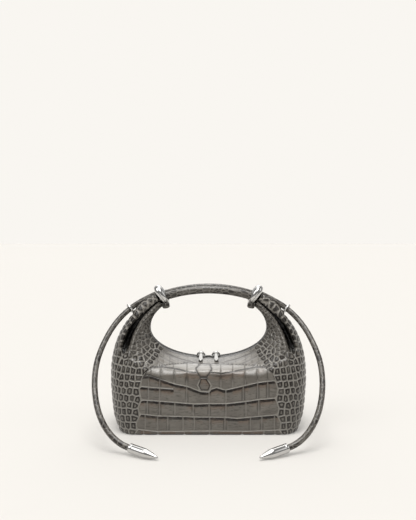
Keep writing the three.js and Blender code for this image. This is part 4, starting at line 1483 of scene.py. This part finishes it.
for side_name, side in (("left", -1), ("right", 1)):
    seat = seat_matrix(side)
    shape = bmesh.new()
    slab(shape, plate_outline, plate_bottom, plate_top)
    slab(shape, plate_outline, low_top - slider_plate, low_top)
    slab(shape, web_outline, low_top, plate_bottom)
    body = zip_part(f"zip_slider_{side_name}", shape)
    rounded(body, 0.32 * mm)
    body.data.transform(seat)
    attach(body, "bag")
    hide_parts(f"slider_{side_name}")

    arch = smooth_route([tuple(seat @ Vector(point)) for point in legs], bridge_steps)
    name = f"slider_bridge_{side_name}"
    bridge = tube(name, arch, bridge_radius, bridge_sides, zip_steel)
    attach(bridge, "bag")

    swing = seat @ Matrix.Translation((pull_centre, 0, bar_height))
    swing = swing @ Matrix.Rotation(math.pi if side < 0 else 0, 4, "Z")
    swing = swing @ Matrix.Rotation(pull_droop, 4, "X")
    name = f"pull_eye_{side_name}"
    eye = lathe(name, section, eye_sides, (0, 0, 0), (1, 0, 0), zip_steel)
    eye.data.transform(swing)
    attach(eye, f"pull_{side_name}")
    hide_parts(f"pull_{side_name}")

    name = f"pull_tongue_{side_name}"
    tongue = add_mesh(name, tongue_points, tongue_faces, zip_steel)
    tongue.data.transform(swing)
    smooth = tongue.modifiers.new("smooth", "SUBSURF")
    smooth.levels = smooth.render_levels = 1
    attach(tongue, f"pull_{side_name}")
    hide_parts(f"pull_{side_name}")


# Studio
# A pale floor under a pale background, lit by soft boxes above, behind and to the left,
# with the room darker behind the camera.
floor_mesh = bpy.data.meshes.new("floor")
floor_half = 12
corners = [(-1, -1), (1, -1), (1, 1), (-1, 1)]
floor_points = [(x * floor_half, y * floor_half, 0) for x, y in corners]
floor_mesh.from_pydata(floor_points, [], [(0, 1, 2, 3)])
floor = bpy.data.objects.new("floor", floor_mesh)
bpy.context.scene.collection.objects.link(floor)
background = (0.947, 0.922, 0.879)
floor_light = 1.57
floor_glow = 0.25
floor_paper, nodes, shader = new_material("floor_paper")
grain = nodes.noise(nodes.place(), 900, 2)
paper = tuple(c * (1 - floor_glow) / floor_light for c in background)
tint = grain.blend(paper, tuple(c * 0.99 for c in paper))
link(tint, shader, "Base Color")
shader.inputs["Emission Color"].default_value = (*background, 1)
shader.inputs["Emission Strength"].default_value = floor_glow
shader.inputs["Roughness"].default_value = 1.0
shader.inputs["Specular IOR Level"].default_value = 0.0
floor_mesh.materials.append(floor_paper)

world = bpy.data.worlds.new("studio")
world.use_nodes = True
nodes = Shade(world.node_tree)
direction = nodes.node("ShaderNodeTexCoord", output=0)


def glow(toward_light, inner, outer, strength):
    """A soft box in the room: full inside one angle and gone outside the other."""
    facing = nodes.node(
        "ShaderNodeVectorMath",
        {"operation": "DOT_PRODUCT"},
        {0: direction, 1: tuple(Vector(toward_light).normalized())},
        output=1,
    )
    return facing.fade(
        math.cos(math.radians(outer)), math.cos(math.radians(inner)), 0.0, strength
    )


room = (
    0.27
    + glow((0, -0.1, 1), 8, 21, 8.0)
    + glow((0, -0.5, 0.87), 6, 24, 3.2)
    + glow((0, 0.7, 0.72), 12, 34, 1.7)
    + glow((-0.62, -0.35, 0.7), 8, 24, 2.6)
    + glow((0.75, -0.2, 0.5), 6, 22, 1.0)
    + glow((0, 1, 0.1), 20, 85, 0.3)
)
lit = nodes.node("ShaderNodeBackground", {}, {"Color": (1.0, 0.99, 0.975, 1), "Strength": room})
seen = nodes.node("ShaderNodeBackground", {}, {"Color": (*background, 1), "Strength": 1.0})
from_camera = nodes.node("ShaderNodeLightPath", output=0)
both = nodes.node("ShaderNodeMixShader", {}, {0: from_camera, 1: lit, 2: seen})
world.node_tree.links.new(both.socket, world.node_tree.nodes["World Output"].inputs[0])
bpy.context.scene.world = world
bpy.context.scene.view_settings.view_transform = "Standard"

bpy.context.view_layer.update()
